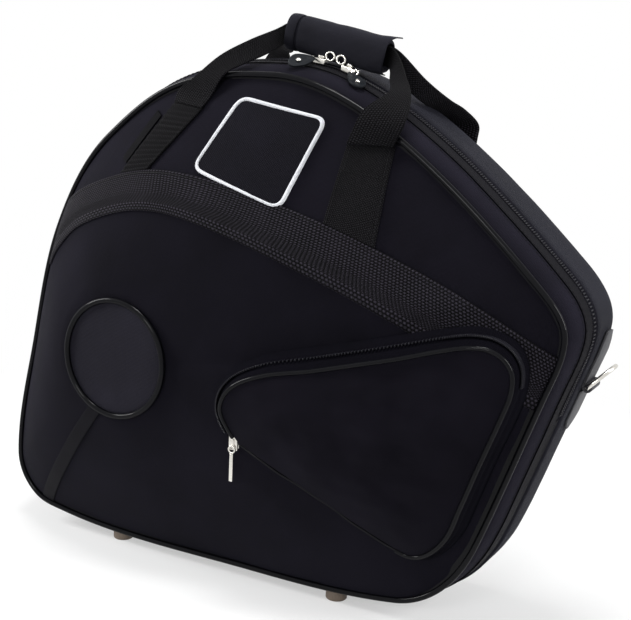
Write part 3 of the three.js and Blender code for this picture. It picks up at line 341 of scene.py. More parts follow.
# Cloth: pitch and depth of the weave in metres, roughness, sheen, shine.
# Webbing: width of a column and length of a float in metres. Thread: pitch in metres and shine.
finishes = {
    # front=0.54 on the nylon cloth paints shade on the lid's forward faces and leaves its side walls lighter
    # as painted sheen.
    "cloth": cloth_finish("nylon cloth", tone(6, 5, 11), tone(185, 168, 268),
                          0.0009, 0.0003, 0.75, 0.008, 0.03, front=0.54),
    "side_cloth": cloth_finish("side wall cloth", tone(15, 15, 27), tone(165, 162, 235),
                               0.0009, 0.0003, 0.7, 0.025, 0.06),
    "panel": cloth_finish("twill panel", tone(6, 5, 11), tone(94, 83, 133),
                          0.0011, 0.0003, 0.8, 0.008, 0.03, twill=True),
    "disc_cloth": cloth_finish("disc cloth", tone(16, 15, 27), tone(198, 184, 270),
                               0.0012, 0.0003, 0.7, 0.02, 0.05),
    "patch_twill": cloth_finish("patch twill", tone(3, 3, 6), tone(98, 90, 140),
                                0.0021, 0.0006, 0.7, 0.01, 0.04, twill=True),
    "pocket_cloth": cloth_finish("pocket wall cloth", tone(3, 3, 6), tone(42, 37, 66),
                                 0.0012, 0.0003, 0.8, 0.006, 0.02, twill=True),
    "lining": cloth_finish("plush lining", tone(80, 95, 140), tone(260, 290, 380),
                           0.0021, 0.0006, 0.95, 0.2, 0.1),
    "webbing": webbing_finish("broad webbing", tone(2, 2, 3), tone(315, 283, 385), 0.0027, 0.0035),
    "rear_strap": webbing_finish("rear strap webbing", tone(4, 4, 5), tone(270, 248, 320),
                                 0.0016, 0.0022),
    "strap": webbing_finish("strap webbing", tone(2, 2, 3), tone(108, 99, 127), 0.0014, 0.0019),
    "tape": webbing_finish("zip tape", tone(10, 10, 16), tone(88, 79, 125), 0.0012, 0.0016, depth=0.0003),
    "piping": plastic_finish("glossy piping", tone(20, 20, 30), tone(40, 40, 50), 0.3,
                             Coat_Weight=0.17, Coat_Roughness=0.04, Specular_IOR_Level=0.02),
    "coil": plastic_finish("nylon coil", tone(40, 40, 60), tone(140, 135, 180), 0.4,
                           Specular_IOR_Level=0.15),
    "leather": plastic_finish("pull leather", tone(60, 70, 90), tone(160, 180, 210), 0.42,
                              grain=0.001, depth=0.00012, Specular_IOR_Level=0.06),
    "vinyl": plastic_finish("grained vinyl", tone(300, 300, 340), tone(600, 600, 660), 0.55,
                            grain=0.0014, depth=0.0002, Specular_IOR_Level=0.2),
    "glide": plastic_finish("glide rubber", tone(1000, 750, 550), tone(2000, 1550, 1200), 0.6),
    "nickel": metal_finish("polished nickel", tone(5500, 5300, 4900), tone(7800, 7600, 7100), 0.22),
    "white_thread": thread_finish("white satin thread", tone(5000, 5100, 5500), tone(8500, 8600, 9000),
                                  0.0009, 0.3),
    "black_thread": thread_finish("black sewing thread", tone(15, 15, 20), tone(90, 90, 110),
                                  0.0009, 0.1),
    "label": thread_finish("black satin label", tone(5, 5, 7), tone(35, 33, 46), 0.0008, 0.03),
}


# Modelling helpers


def select_only(piece):
    bpy.ops.object.select_all(action="DESELECT")
    piece.select_set(True)
    bpy.context.view_layer.objects.active = piece


def primitive(add, **settings):
    """A new mesh piece, made with nothing else selected."""
    bpy.ops.object.select_all(action="DESELECT")
    add(**settings)
    return bpy.context.object


def linked(name, data):
    piece = bpy.data.objects.new(name, data)
    scene.collection.objects.link(piece)
    return piece


def modify(piece, kind, **settings):
    select_only(piece)
    modifier = piece.modifiers.new(kind.lower(), kind)
    for key, value in settings.items():
        setattr(modifier, key, value)
    bpy.ops.object.modifier_apply(modifier=modifier.name)


def bevel(piece, width, segments, degrees):
    modify(piece, "BEVEL", width=width, segments=segments, limit_method="ANGLE",
           angle_limit=math.radians(degrees))


def subdivide(piece, levels, **settings):
    modify(piece, "SUBSURF", levels=levels, render_levels=levels, **settings)


def edit_all(piece, *steps):
    select_only(piece)
    bpy.ops.object.mode_set(mode="EDIT")
    bpy.ops.mesh.select_all(action="SELECT")
    for step, settings in steps:
        step(**settings)
    bpy.ops.object.mode_set(mode="OBJECT")


def flip(piece):
    edit_all(piece, (bpy.ops.mesh.flip_normals, {}))


def remesh(piece, voxel):
    select_only(piece)
    piece.data.remesh_voxel_size = voxel
    bpy.ops.object.voxel_remesh()


def done(piece, name, body, finish, slot, *nodes, angle=50.0):
    """Names a finished piece, gives it its finish and body, and hides the nodes it stands for."""
    select_only(piece)
    bpy.ops.object.transform_apply(location=True, rotation=True, scale=True)
    piece.name = name
    piece.data.name = name
    piece.data.materials.clear()
    piece.data.materials.append(finishes[finish])
    bpy.ops.object.shade_smooth_by_angle(angle=math.radians(angle))
    if body:
        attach(piece, body)
    if nodes:
        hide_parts(*nodes)
    return piece


def copy_of(node):
    """A copy of a node's shape with its corners joined and its quads restored."""
    piece = linked(node + "_copy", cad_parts[node].data.copy())
    edit_all(
        piece,
        (bpy.ops.mesh.remove_doubles, {"threshold": 0.00002}),
        (bpy.ops.mesh.tris_convert_to_quads,
         {"face_threshold": math.radians(50), "shape_threshold": math.radians(60)}),
    )
    return piece


def crease_corners(piece, degrees):
    shape = bmesh.new()
    shape.from_mesh(piece.data)
    layers = shape.edges.layers.float
    layer = layers.get("crease_edge") or layers.new("crease_edge")
    for edge in shape.edges:
        if len(edge.link_faces) == 2 and edge.calc_face_angle() > math.radians(degrees):
            edge[layer] = 1.0
    shape.to_mesh(piece.data)
    shape.free()


def ripple(piece, size, height, seed):
    """Moves the points along their normals by smooth noise: size and height in millimetres."""
    shift = Vector((seed * 7.3, seed * 3.1, seed * 5.7))
    normals = [normal.vector.copy() for normal in piece.data.vertex_normals]
    places = []
    for vertex, normal in zip(piece.data.vertices, normals):
        amount = noise.noise(vertex.co / (size * MM) + shift)
        places.extend(vertex.co + normal * amount * height * MM)
    piece.data.vertices.foreach_set("co", places)
    piece.data.update()


def sheet_of(columns, rows, at, thickness=0.0, facing=None, edge=0.35, joined=False):
    """A woven sheet: at(u, v) gives its place in metres, and its UV map runs in metres too."""
    piece = primitive(bpy.ops.mesh.primitive_grid_add, x_subdivisions=columns, y_subdivisions=rows,
                      size=1.0)
    steps = []
    for vertex in piece.data.vertices:
        u, v = vertex.co.x + 0.5, vertex.co.y + 0.5
        steps.append((round(u * columns), round(v * rows)))
        vertex.co = at(u, v)
    places = np.zeros((rows + 1, columns + 1, 3))
    for (column, row), vertex in zip(steps, piece.data.vertices):
        places[row, column] = vertex.co
    along = np.linalg.norm(np.diff(places, axis=1), axis=2).mean(axis=0)
    across = np.linalg.norm(np.diff(places, axis=0), axis=2).mean(axis=1)
    along = np.concatenate(([0.0], np.cumsum(along)))
    across = np.concatenate(([0.0], np.cumsum(across)))
    uv = piece.data.uv_layers.active.data
    for loop in piece.data.loops:
        column, row = steps[loop.vertex_index]
        uv[loop.index].uv = (along[column], across[row])
    if joined:
        edit_all(piece, (bpy.ops.mesh.remove_doubles, {"threshold": 0.00002}))
    if facing is not None:
        side = sum(face.normal.dot(facing(face.center)) * face.area for face in piece.data.polygons)
        if side < 0.0:
            flip(piece)
    if thickness:
        modify(piece, "SOLIDIFY", thickness=thickness * MM, offset=-1.0)
        if edge:
            bevel(piece, edge * MM, 2, 60)
    return piece


def curve_point(points, share):
    """A place on the smooth curve through the points, with centripetal spacing."""
    last = len(points) - 1
    place = min(max(share, 0.0), 1.0) * last
    k = min(int(place), last - 1)
    p1, p2 = points[k], points[k + 1]
    p0 = points[k - 1] if k else p1 * 2.0 - p2
    p3 = points[k + 2] if k + 2 <= last else p2 * 2.0 - p1
    t1 = max((p1 - p0).length ** 0.5, 1e-6)
    t2 = t1 + max((p2 - p1).length ** 0.5, 1e-6)
    t3 = t2 + max((p3 - p2).length ** 0.5, 1e-6)
    t = t1 + (t2 - t1) * (place - k)
    a1 = p0.lerp(p1, t / t1)
    a2 = p1.lerp(p2, (t - t1) / (t2 - t1))
    a3 = p2.lerp(p3, (t - t2) / (t3 - t2))
    b1 = a1.lerp(a2, t / t2)
    b2 = a2.lerp(a3, (t - t1) / (t3 - t1))
    return b1.lerp(b2, (t - t1) / (t2 - t1))


def cord(points, radius, closed, sides):
    """A round cord through the points, in metres; the radius is in millimetres."""
    line = bpy.data.curves.new("cord", "CURVE")
    line.dimensions = "3D"
    line.bevel_depth = radius * MM
    line.bevel_resolution = sides
    line.use_fill_caps = not closed
    spline = line.splines.new("POLY")
    spline.points.add(len(points) - 1)
    for point, place in zip(spline.points, points):
        point.co = (*place, 1.0)
    spline.use_cyclic_u = closed
    select_only(linked("cord", line))
    bpy.ops.object.convert(target="MESH")
    return bpy.context.object


def repeat(base, places):
    """One mesh with a copy of the base at each placing matrix."""
    corners = np.array([(*v.co, 1.0) for v in base.data.vertices])
    faces = [tuple(p.vertices) for p in base.data.polygons]
    rows = np.vstack([(np.array(place) @ corners.T).T[:, :3] for place in places])
    step = len(corners)
    copies = [tuple(i + k * step for i in face) for k in range(len(places)) for face in faces]
    mesh = bpy.data.meshes.new("copies")
    mesh.from_pydata(rows.tolist(), [], copies)
    bpy.data.objects.remove(base)
    return linked("copies", mesh)


def placing(place, along, normal):
    """The matrix of a thing at a place, with X along the line and Z out of the surface."""
    across = normal.cross(along).normalized()
    normal = along.cross(across).normalized()
    turn = Matrix((along, across, normal)).transposed().to_4x4()
    return Matrix.Translation(place) @ turn


STITCH_RADIUS, STITCH_SAMPLES = 0.34, 60


def stitches(name, lines, body, length=3.2, pitch=4.4):
    """Rows of thread: each line is a function of 0 to 1 that gives a place and a normal."""
    places = []
    for line in lines:
        samples = [line(k / STITCH_SAMPLES)[0] for k in range(STITCH_SAMPLES + 1)]
        reach = sum((b - a).length for a, b in zip(samples, samples[1:]))
        total = max(2, round(reach / (pitch * MM)))
        for k in range(total):
            here, normal = line((k + 0.5) / total)
            ahead = line(min((k + 0.8) / total, 1.0))[0] - line((k + 0.2) / total)[0]
            places.append(placing(here, ahead.normalized(), normal))
    base = primitive(bpy.ops.mesh.primitive_uv_sphere_add, segments=6, ring_count=5, radius=1.0)
    half = Vector((length / 2, STITCH_RADIUS, STITCH_RADIUS * 0.7)) * MM
    edit_all(
        base,
        (bpy.ops.transform.rotate, {"value": math.pi / 2, "orient_axis": "Y", "center_override": (0, 0, 0)}),
        (bpy.ops.transform.resize, {"value": half}),
    )
    return done(repeat(base, places), name, body, "black_thread", "webbing")


# The outline of the front edge, seen from the front: shares of the half width and height, and headings in
# degrees

EDGE_SHARES = [
    (-0.804, 0.016, 351), (0, 0, 360), (0.537, 0.017, 369), (0.785, 0.165, 429.5),
    (0.957, 0.475, 431), (1, 0.577, 450), (0.915, 0.663, 496), (0.607, 0.832, 502),
    (0.337, 0.944, 512), (0.025, 1, 540), (-0.33, 0.97, 560), (-0.6, 0.859, 581),
    (-0.815, 0.657, 607), (-0.93, 0.379, 617.5), (-1, 0.125, 630), (-0.92, 0.036, 685),
]


def make_edge():
    samples = []
    for k, (x0, z0, h0) in enumerate(EDGE_SHARES):
        x1, z1, h1 = EDGE_SHARES[(k + 1) % len(EDGE_SHARES)]
        h1 += 360 if k == len(EDGE_SHARES) - 1 else 0
        a, b = Vector(placed((x0, z0))), Vector(placed((x1, z1)))
        h0, h1 = math.radians(h0), math.radians(h1)
        chord = (b - a).length
        reach = chord * (2 / 3) / (1 + math.cos((h1 - h0) / 2))
        c = a + reach * Vector((math.cos(h0), math.sin(h0)))
        d = b - reach * Vector((math.cos(h1), math.sin(h1)))
        steps = max(2, math.ceil(chord / 3))
        for i in range(steps):
            t = i / steps
            s = 1 - t
            p = a * s ** 3 + c * 3 * s * s * t + d * 3 * s * t * t + b * t ** 3
            v = (c - a) * s * s + (d - c) * 2 * s * t + (b - d) * t * t
            v.normalize()
            samples.append((p.x, p.y, v.y, -v.x))
    return samples


EDGE = make_edge()
EDGE_TABLE = np.array(EDGE)
EDGE_RUN = [0.0]
for first, second in zip(EDGE, EDGE[1:] + EDGE[:1]):
    EDGE_RUN.append(EDGE_RUN[-1] + math.hypot(second[0] - first[0], second[1] - first[1]))
EDGE_LENGTH = EDGE_RUN[-1]


def edge_at(run):
    """Place and outward direction on the outline, so many millimetres along it."""
    run %= EDGE_LENGTH
    k = int(np.searchsorted(EDGE_RUN, run, side="right")) - 1
    k = min(k, len(EDGE) - 1)
    share = (run - EDGE_RUN[k]) / (EDGE_RUN[k + 1] - EDGE_RUN[k])
    a, b = EDGE[k], EDGE[(k + 1) % len(EDGE)]
    x, z, nx, nz = (p + (q - p) * share for p, q in zip(a, b))
    size = math.hypot(nx, nz)
    return x, z, nx / size, nz / size


def beside_edge(run, out, y):
    x, z, nx, nz = edge_at(run)
    return spot(x + nx * out, y, z + nz * out)


def edge_run(share):
    x, z = placed(share)
    return EDGE_RUN[min(range(len(EDGE)), key=lambda k: math.hypot(EDGE[k][0] - x, EDGE[k][1] - z))]


# Both halves, covered in cloth


def cover(node, seed):
    piece = copy_of(node)
    crease_corners(piece, 42)
    subdivide(piece, 2)
    ripple(piece, 75, 0.9, seed)
    ripple(piece, 24, 0.25, seed + 2)
    return piece, BVHTree.FromObject(piece, bpy.context.evaluated_depsgraph_get())


lid, lid_tree = cover("lid_shell", 1)
rear, rear_tree = cover("rear_shell", 4)
FRONT_START, SIDE_START = -200.0, 60.0
RIM_MARGIN = 1.2


def skin(x, z, lift=0.0):
    """Place and normal on the lid's front, lifted off it by so many millimetres."""
    place, normal, _, _ = lid_tree.ray_cast(spot(x, FRONT_START, z), DEPTH)
    if place is None:
        place, normal = spot(x, -LID_RIM, z), -DEPTH
    return place + normal * lift * MM, normal


def wall(run, y, lift=0.0):
    """Place and normal on the side wall at a depth, so many millimetres along the outline."""
    _, _, nx, nz = edge_at(run)
    out = Vector((nx, 0.0, nz))
    tree = lid_tree if y < 0.0 else rear_tree
    level = min(y, -RIM_MARGIN) if y < 0.0 else max(y, RIM_MARGIN)
    place, normal, _, _ = tree.ray_cast(beside_edge(run, SIDE_START, level), -out)
    if place is None:
        place, normal = beside_edge(run, FLARE, level), out
    place = place + out * lift * MM
    place.y = (y + FLOOR_SHIFT.y) * MM
    return place, normal


def within(x, z):
    """How far a place on the front lies inside the piping, in millimetres."""
    k = int(np.argmin((EDGE_TABLE[:, 0] - x) ** 2 + (EDGE_TABLE[:, 1] - z) ** 2))
    ex, ez, nx, nz = EDGE_TABLE[k]
    return -((x - ex) * nx + (z - ez) * nz) - RIM_MARGIN


def reach_within(row, steps=80):
    """The first and last share of a row of places that lie inside the piping."""
    inner = [k / steps for k in range(steps + 1) if within(*row(k / steps)) > 0.0]
    ends = []
    for kept, beyond in ((inner[0], inner[0] - 1 / steps), (inner[-1], inner[-1] + 1 / steps)):
        for _ in range(8):
            middle = (kept + beyond) / 2
            if 0.0 <= middle <= 1.0 and within(*row(middle)) > 0.0:
                kept = middle
            else:
                beyond = middle
        ends.append(kept)
    return ends


def front_face(place):
    """Which way the front looks; the same at every place."""
    return -DEPTH


def front_sheet(columns, rows, at, thickness):
    """Cloth on the front that goes round in a loop."""
    return sheet_of(columns, rows, at, thickness, front_face, edge=0.0, joined=True)


def piping(name, body, points, radius, *nodes, closed=False, sides=4):
    done(cord(points, radius, closed, sides), name, body, "piping", "piping", *nodes)


done(lid, "lid_cover", "lid", "cloth", "cloth", "lid_shell", angle=40)
done(rear, "rear_cover", "rear_half", "side_cloth", "cloth", "rear_shell", angle=40)


# Piping, tape, coils and gusset along the side

ZIP_END = edge_run((0.925, 0.425))
ZIP_START = edge_run((0.5, 0.014)) + EDGE_LENGTH
ZIP_RUN = ZIP_START - ZIP_END
CORD_RADIUS, CORD_OUT, CORD_FORWARD = 2.6, 0.7, 0.8
EDGE_CORD_STEPS = 520
FLANGE_WIDTH, FLANGE_OUT, FLANGE_FORWARD = 7.0, 0.5, 0.6
TAPE_FRONT, TAPE_BACK, GUSSET_BACK = -16.3, -3.2, 2.9
TAPE_STEP, TAPE_THICKNESS, TAPE_LIFT, GUSSET_LIFT = 4.0, 1.0, 1.1, 1.2
MIDDLE_HEIGHT = 0.23
COIL_LIFT, COIL_PITCH = 1.1, 2.3
TOOTH_LENGTH, TOOTH_EDGE = 1.2, 0.4
MAIN_TOOTH, POCKET_TOOTH = (3.1, 2.1), (6.4, 1.8)
EDGE_STITCH_DEPTH, TAPE_STITCH_DEPTH = -18.6, -14.6

edge_line = [beside_edge(EDGE_LENGTH * k / EDGE_CORD_STEPS, CORD_OUT, -LID_RIM - CORD_FORWARD)
             for k in range(EDGE_CORD_STEPS)]
piping("edge_cord", "lid", edge_line, CORD_RADIUS, "front_piping", closed=True)


def flange_place(u, v):
    """The piping's flange runs from the cord in under the front's cloth."""
    return beside_edge(EDGE_LENGTH * u, FLANGE_OUT - FLANGE_WIDTH * v, -LID_RIM - FLANGE_FORWARD)


done(front_sheet(260, 3, flange_place, 0.8), "piping_flange", "lid", "piping", "piping")


def side_band(name, run_from, run_to, y_back, lift, body, node):
    reach = run_to - run_from
    piece = sheet_of(
        int(reach / TAPE_STEP), 6,
        lambda u, v: wall(run_from + reach * u, TAPE_FRONT + (y_back - TAPE_FRONT) * v, lift)[0],
        TAPE_THICKNESS, lambda place: Vector((place.x, 0.0, place.z - MIDDLE_HEIGHT)), edge=0.25,
    )
    return done(piece, name, body, "tape", "webbing", node)


side_band("zip_tape", ZIP_END - 6, ZIP_START + 4, TAPE_BACK, TAPE_LIFT, "lid", "front_zip_tape")


def tooth_base(across, high):
    base = primitive(bpy.ops.mesh.primitive_cube_add, size=1.0)
    edit_all(
        base,
        (bpy.ops.transform.resize, {"value": (TOOTH_LENGTH * MM, across * MM, high * MM)}),
        (bpy.ops.mesh.bevel, {"offset": TOOTH_EDGE * MM, "segments": 1, "affect": "EDGES"}),
    )
    return base


def coil(name, y, body, node):
    total = int(ZIP_RUN / COIL_PITCH)
    places = []
    for k in range(total):
        run = ZIP_END + ZIP_RUN * (k + 0.5) / total
        _, _, nx, nz = edge_at(run)
        places.append(placing(wall(run, y, COIL_LIFT)[0], Vector((-nz, 0.0, nx)), Vector((nx, 0.0, nz))))
    done(repeat(tooth_base(*MAIN_TOOTH), places), name, body, "coil", "teeth", node, angle=30)


coil("lid_coil", -1.5, "lid", "front_zip_teeth")
coil("rear_coil", 1.6, "rear_half", "rear_zip_teeth")

gusset = side_band("corner_gusset", ZIP_START + 2 - EDGE_LENGTH, ZIP_END - 4, GUSSET_BACK, GUSSET_LIFT,
                   None, "hinge_gusset")
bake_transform(gusset, "rear_half", "lid", start=spot(225, 1.5, 70), end=spot(225, -3, 70))


def side_line(run_from, run_to, y, lift):
    return lambda share: wall(run_from + (run_to - run_from) * share, y, lift)


stitches("side_stitches", [
    side_line(0, EDGE_LENGTH, EDGE_STITCH_DEPTH, 0.3),
    side_line(ZIP_END, ZIP_START, TAPE_STITCH_DEPTH, 1.2),
], "lid")


# Disc with its cord, the corner strip and the ridge band

DISC = Vector(placed((-0.419, 0.428)))
DISC_RADIUS = 52.0
DISC_FRONT = -(LID_RIM + DOME)
DISC_CORD_STEPS, DISC_CORD_LIFT = 160, 2.4
DISC_INSET, DISC_LIFT, DISC_SWELL = 1.4, 1.3, 1.6


def disc_spot(share, radius, lift):
    turn = 2 * math.pi * share
    return spot(DISC.x + radius * math.cos(turn), DISC_FRONT - lift, DISC.y + radius * math.sin(turn))


disc_line = [disc_spot(k / DISC_CORD_STEPS, DISC_RADIUS, DISC_CORD_LIFT) for k in range(DISC_CORD_STEPS)]
piping("disc_cord", "lid", disc_line, CORD_RADIUS, "disc_piping", closed=True)


def disc_place(u, v):
    out = 1.0 - v
    return disc_spot(u, (DISC_RADIUS - DISC_INSET) * out, DISC_LIFT + DISC_SWELL * (1.0 - out ** 3))


disc = front_sheet(120, 18, disc_place, 1.2)
ripple(disc, 22, 0.5, 3)
done(disc, "disc_cloth", "lid", "disc_cloth", "panel", "disc_panel")


def straight(a, b, share):
    return a[0] + (b[0] - a[0]) * share, a[1] + (b[1] - a[1]) * share


def skin_strip(name, left, right, lift, thickness, columns, rows, finish, node, ribs=0):
    """Webbing on the lid's front between two edges, each a function of 0 to 1."""
    ends = {}

    def at(u, v):
        if v not in ends:
            ends[v] = reach_within(lambda share: straight(left(share), right(share), v))
        first, last = ends[v]
        share = first + (last - first) * u
        rise = lift + 0.45 * math.sin(2 * math.pi * ribs * u)
        return skin(*straight(left(share), right(share), v), rise)[0]
    done(sheet_of(columns, rows, at, thickness, front_face), name, "lid", finish, "webbing", node)


def strip_edge(start, end, offset):
    """An edge of a straight strip, so many millimetres to the side of its middle line."""
    aside = (Vector(end) - Vector(start)).normalized() * offset

    def edge(u):
        x, z = straight(start, end, u)
        return x - aside.y, z + aside.x
    return edge


BAND_LINE = line_of([
    (-0.88, 0.6), (-0.83, 0.636), (-0.69, 0.7), (-0.48, 0.751), (-0.34, 0.769), (-0.2, 0.768),
    (0.02, 0.741), (0.23, 0.701), (0.45, 0.65), (0.68, 0.587), (1.03, 0.472),
])
BAND_WIDTHS = [36, 34, 32, 32, 33.5, 35, 39, 43, 44.5, 46, 47]
BAND_STEPS, BAND_STITCH_INSET, STRIP_HALF_WIDTH = 120, 2.6, 6.5


def band_edge(share, side, inset=0.0):
    here = curve_point(BAND_LINE, share)
    ahead = curve_point(BAND_LINE, min(share + 0.01, 1.0)) - curve_point(BAND_LINE, max(share - 0.01, 0.0))
    ahead.normalize()
    place = share * (len(BAND_WIDTHS) - 1)
    offset = side * (float(np.interp(place, range(len(BAND_WIDTHS)), BAND_WIDTHS)) / 2 - inset)
    return here.x - ahead.y * offset, here.y + ahead.x * offset


skin_strip("ridge_band", lambda u: band_edge(u, 1), lambda u: band_edge(u, -1),
           2.0, 1.6, 210, 14, "webbing", "front_band")
band_top_line = np.array([band_edge(k / BAND_STEPS, 1, -0.4) for k in range(BAND_STEPS + 1)])


def band_top(x):
    return float(np.interp(x, band_top_line[:, 0], band_top_line[:, 1]))


STRIP_FROM, STRIP_TO = placed((-0.485, 0.325)), placed((-0.915, -0.005))
skin_strip("corner_strip", strip_edge(STRIP_FROM, STRIP_TO, -STRIP_HALF_WIDTH),
           strip_edge(STRIP_FROM, STRIP_TO, STRIP_HALF_WIDTH), 1.2, 0.9, 60, 6, "tape", "disc_strip")


# Sewn feet of the front handle, the patch and the label

LEFT_FOOT = [placed(s) for s in ((-0.456, 0.8), (-0.368, 0.79), (-0.196, 0.93), (-0.314, 0.938))]
RIGHT_FOOT = [placed(s) for s in ((0.276, 0.72), (0.444, 0.71), (0.452, 0.885), (0.31, 0.885))]
BOX_LOW, BOX_HIGH, BOX_SIDE, SEAM_SIDE = 0.68, 0.97, 0.09, 0.05
FOOT_LIFT, FOOT_THREAD_LIFT = 2.2, 2.35


def foot_edge(low, high):
    """An edge of a handle's foot, from where it comes out of the ridge band."""
    base = straight(low, high, 0.0)
    for _ in range(4):
        base = straight(low, high, (band_top(base[0]) - low[1]) / (high[1] - low[1]))
    return lambda u: straight(base, high, u)


def handle_foot(name, corners, node, ribs):
    low_left, low_right, high_right, high_left = corners
    left, right = foot_edge(low_left, high_left), foot_edge(low_right, high_right)
    skin_strip(name, left, right, FOOT_LIFT, 1.7, 100, 14, "strap", node, ribs)

    def across(u, share):
        return straight(left(u), right(u), share)
    box = [across(BOX_HIGH, BOX_SIDE), across(BOX_HIGH, 1 - BOX_SIDE), across(BOX_LOW, 1 - BOX_SIDE),
           across(BOX_LOW, BOX_SIDE)]
    rows = [(box[k], box[(k + 1) % 4]) for k in range(4)]
    rows += [(across(BOX_LOW, side), across(0.0, side)) for side in (SEAM_SIDE, 1 - SEAM_SIDE)]
    lines = [lambda share, row=row: skin(*straight(*row, share), FOOT_THREAD_LIFT) for row in rows]
    stitches(name + "_stitches", lines, "lid", length=2.6, pitch=3.4)


handle_foot("left_handle_foot", LEFT_FOOT, "front_strap_left", 14)
handle_foot("right_handle_foot", RIGHT_FOOT, "front_strap_right", 0)

PATCH = line_of([(-0.07, 0.961), (0.239, 0.929), (0.144, 0.757), (-0.18, 0.819)])
PATCH_CORNER, PATCH_EDGE, PATCH_LIFT, PATCH_EDGE_RISE = 11.0, 3.4, 1.7, 2.1
DIAGONAL, CORNER_STEPS = 1.41, 8
patch_middle = sum(PATCH, Vector((0.0, 0.0))) / 4


def patch_loop(inset):
    """The patch's outline with round corners, as a function of 0 to 1."""
    corners = [corner - (corner - patch_middle).normalized() * inset * DIAGONAL for corner in PATCH]
    radius = PATCH_CORNER - inset
    points = []
    for k, corner in enumerate(corners):
        before, after = corners[k - 1], corners[(k + 1) % 4]
        start = corner + (before - corner).normalized() * radius
        end = corner + (after - corner).normalized() * radius
        for i in range(CORNER_STEPS + 1):
            t = i / CORNER_STEPS
            points.append(start * (1 - t) ** 2 + corner * 2 * t * (1 - t) + end * t * t)
    points.append(points[0])
    runs = [0.0]
    for a, b in zip(points, points[1:]):
        runs.append(runs[-1] + (b - a).length)
    return lambda u: Vector([float(np.interp(u * runs[-1], runs, [p[axis] for p in points]))
                             for axis in range(2)])


patch_outer, patch_inner = patch_loop(0.0), patch_loop(PATCH_EDGE)


def patch_place(u, v):
    return skin(*patch_inner(u).lerp(patch_middle, v), PATCH_LIFT)[0]


def patch_edge_place(u, v):
    place = patch_outer(u).lerp(patch_inner(u), v * 1.06)
    return skin(*place, 0.6 + PATCH_EDGE_RISE * math.sin(math.pi * v) ** 0.6)[0]


done(front_sheet(140, 16, patch_place, 1.2), "patch_cloth", "lid", "patch_twill", "panel", "patch_field")
done(front_sheet(220, 8, patch_edge_place, 0.5),
     "patch_edge", "lid", "white_thread", "thread", "patch_border")

LABEL_FROM, LABEL_TO = placed((-0.465, 0.818)), placed((-0.37, 0.915))
LABEL_HALF_WIDTH = 4.0
skin_strip("side_label", strip_edge(LABEL_FROM, LABEL_TO, LABEL_HALF_WIDTH),
           strip_edge(LABEL_FROM, LABEL_TO, -LABEL_HALF_WIDTH), 1.7, 1.1, 24, 4, "label", "label_tab")


def band_stitch_row(side):
    def row(share):
        return band_edge(share, side, BAND_STITCH_INSET)
    first, last = reach_within(row)
    return lambda share: skin(*row(first + (last - first) * share), 2.1)


stitches("band_stitches", [band_stitch_row(1), band_stitch_row(-1)], "lid")


# Outer pocket

POCKET_EDGE = line_of([
    (0.059, 0.309), (0.033, 0.343), (0.02, 0.373), (0.037, 0.403), (0.078, 0.43),
    (0.166, 0.455), (0.31, 0.476), (0.432, 0.497), (0.566, 0.52), (0.689, 0.544),
    (0.763, 0.556), (0.822, 0.558), (0.863, 0.547), (0.889, 0.524), (0.889, 0.487),
    (0.866, 0.44), (0.815, 0.352), (0.763, 0.259), (0.726, 0.197), (0.681, 0.16),
    (0.637, 0.14), (0.6, 0.135), (0.563, 0.142),
])
POCKET_BASE = line_of([
    (0.037, 0.3), (-0.011, 0.334), (-0.03, 0.368), (-0.022, 0.405), (0.022, 0.444),
    (0.119, 0.48), (0.289, 0.512), (0.415, 0.533), (0.556, 0.558), (0.681, 0.579),
    (0.77, 0.588), (0.837, 0.581), (0.889, 0.561), (0.911, 0.531), (0.911, 0.487),
    (0.889, 0.435), (0.837, 0.348), (0.785, 0.252), (0.748, 0.19), (0.7, 0.149),
    (0.648, 0.126), (0.596, 0.124), (0.556, 0.133),
])
SEAM_FROM, SEAM_TO = line_of([(0.048, 0.304), (0.563, 0.133)])
seam_along = (SEAM_TO - SEAM_FROM).normalized()
seam_away = Vector((-seam_along.y, seam_along.x))
POCKET_DEPTH, POCKET_SEAM, POCKET_RUN = 22.0, 3.0, 30.0
POCKET_MIDDLE = Vector(placed((0.56, 0.37)))
CURVED_SHARE = 0.82
WALL_FIRST, WALL_SPAN = 0.02, 0.97
GROOVE, GROOVE_WIDTH = 0.52, 0.09
POCKET_TEETH, POCKET_CORD_STEPS, POCKET_SEAM_STEPS = 170, 240, 80
POCKET_CORD_RADIUS, POCKET_CORD_OUT, POCKET_CORD_LIFT = 2.0, 1.6, 2.6
SEAM_RADIUS, SEAM_LIFT, TOOTH_STAND = 1.1, 2.6, 1.7


def pocket_front(place, lift):
    """On the pocket's front, which stands further out the further it is from the seam."""
    away = max(seam_away.dot(place - SEAM_FROM), 0.0)
    height = POCKET_SEAM + (POCKET_DEPTH - POCKET_SEAM) * (1.0 - math.exp(-away / POCKET_RUN))
    return skin(*place)[0] - DEPTH * (height + lift) * MM


def pocket_rim(share):
    """Round the pocket's panel: first its curved edge, then its seam."""
    if share < CURVED_SHARE:
        return curve_point(POCKET_EDGE, share / CURVED_SHARE)
    return POCKET_EDGE[-1].lerp(POCKET_EDGE[0], (share - CURVED_SHARE) / (1.0 - CURVED_SHARE))


def pocket_panel_place(u, v):
    share = v ** 0.8
    place = pocket_rim(u).lerp(POCKET_MIDDLE, share)
    swell = 2.4 + 3.2 * math.sin(math.pi * min(share, 0.5))
    folds = noise.noise(Vector((place.x / 34, place.y / 20, 2.0))) * 2.2
    folds += noise.noise(Vector((place.x / 14, place.y / 10, 7.0))) * 0.7
    return pocket_front(place, swell + folds * min(share * 5.0, 1.0))


done(front_sheet(220, 36, pocket_panel_place, 1.6),
     "pocket_cloth", "pocket_flap", "panel", "panel", "pocket_front")


def pocket_out(share):
    a = curve_point(POCKET_EDGE, max(share - 0.01, 0.0))
    b = curve_point(POCKET_EDGE, min(share + 0.01, 1.0))
    along = (b - a).normalized()
    return Vector((-along.y, along.x))


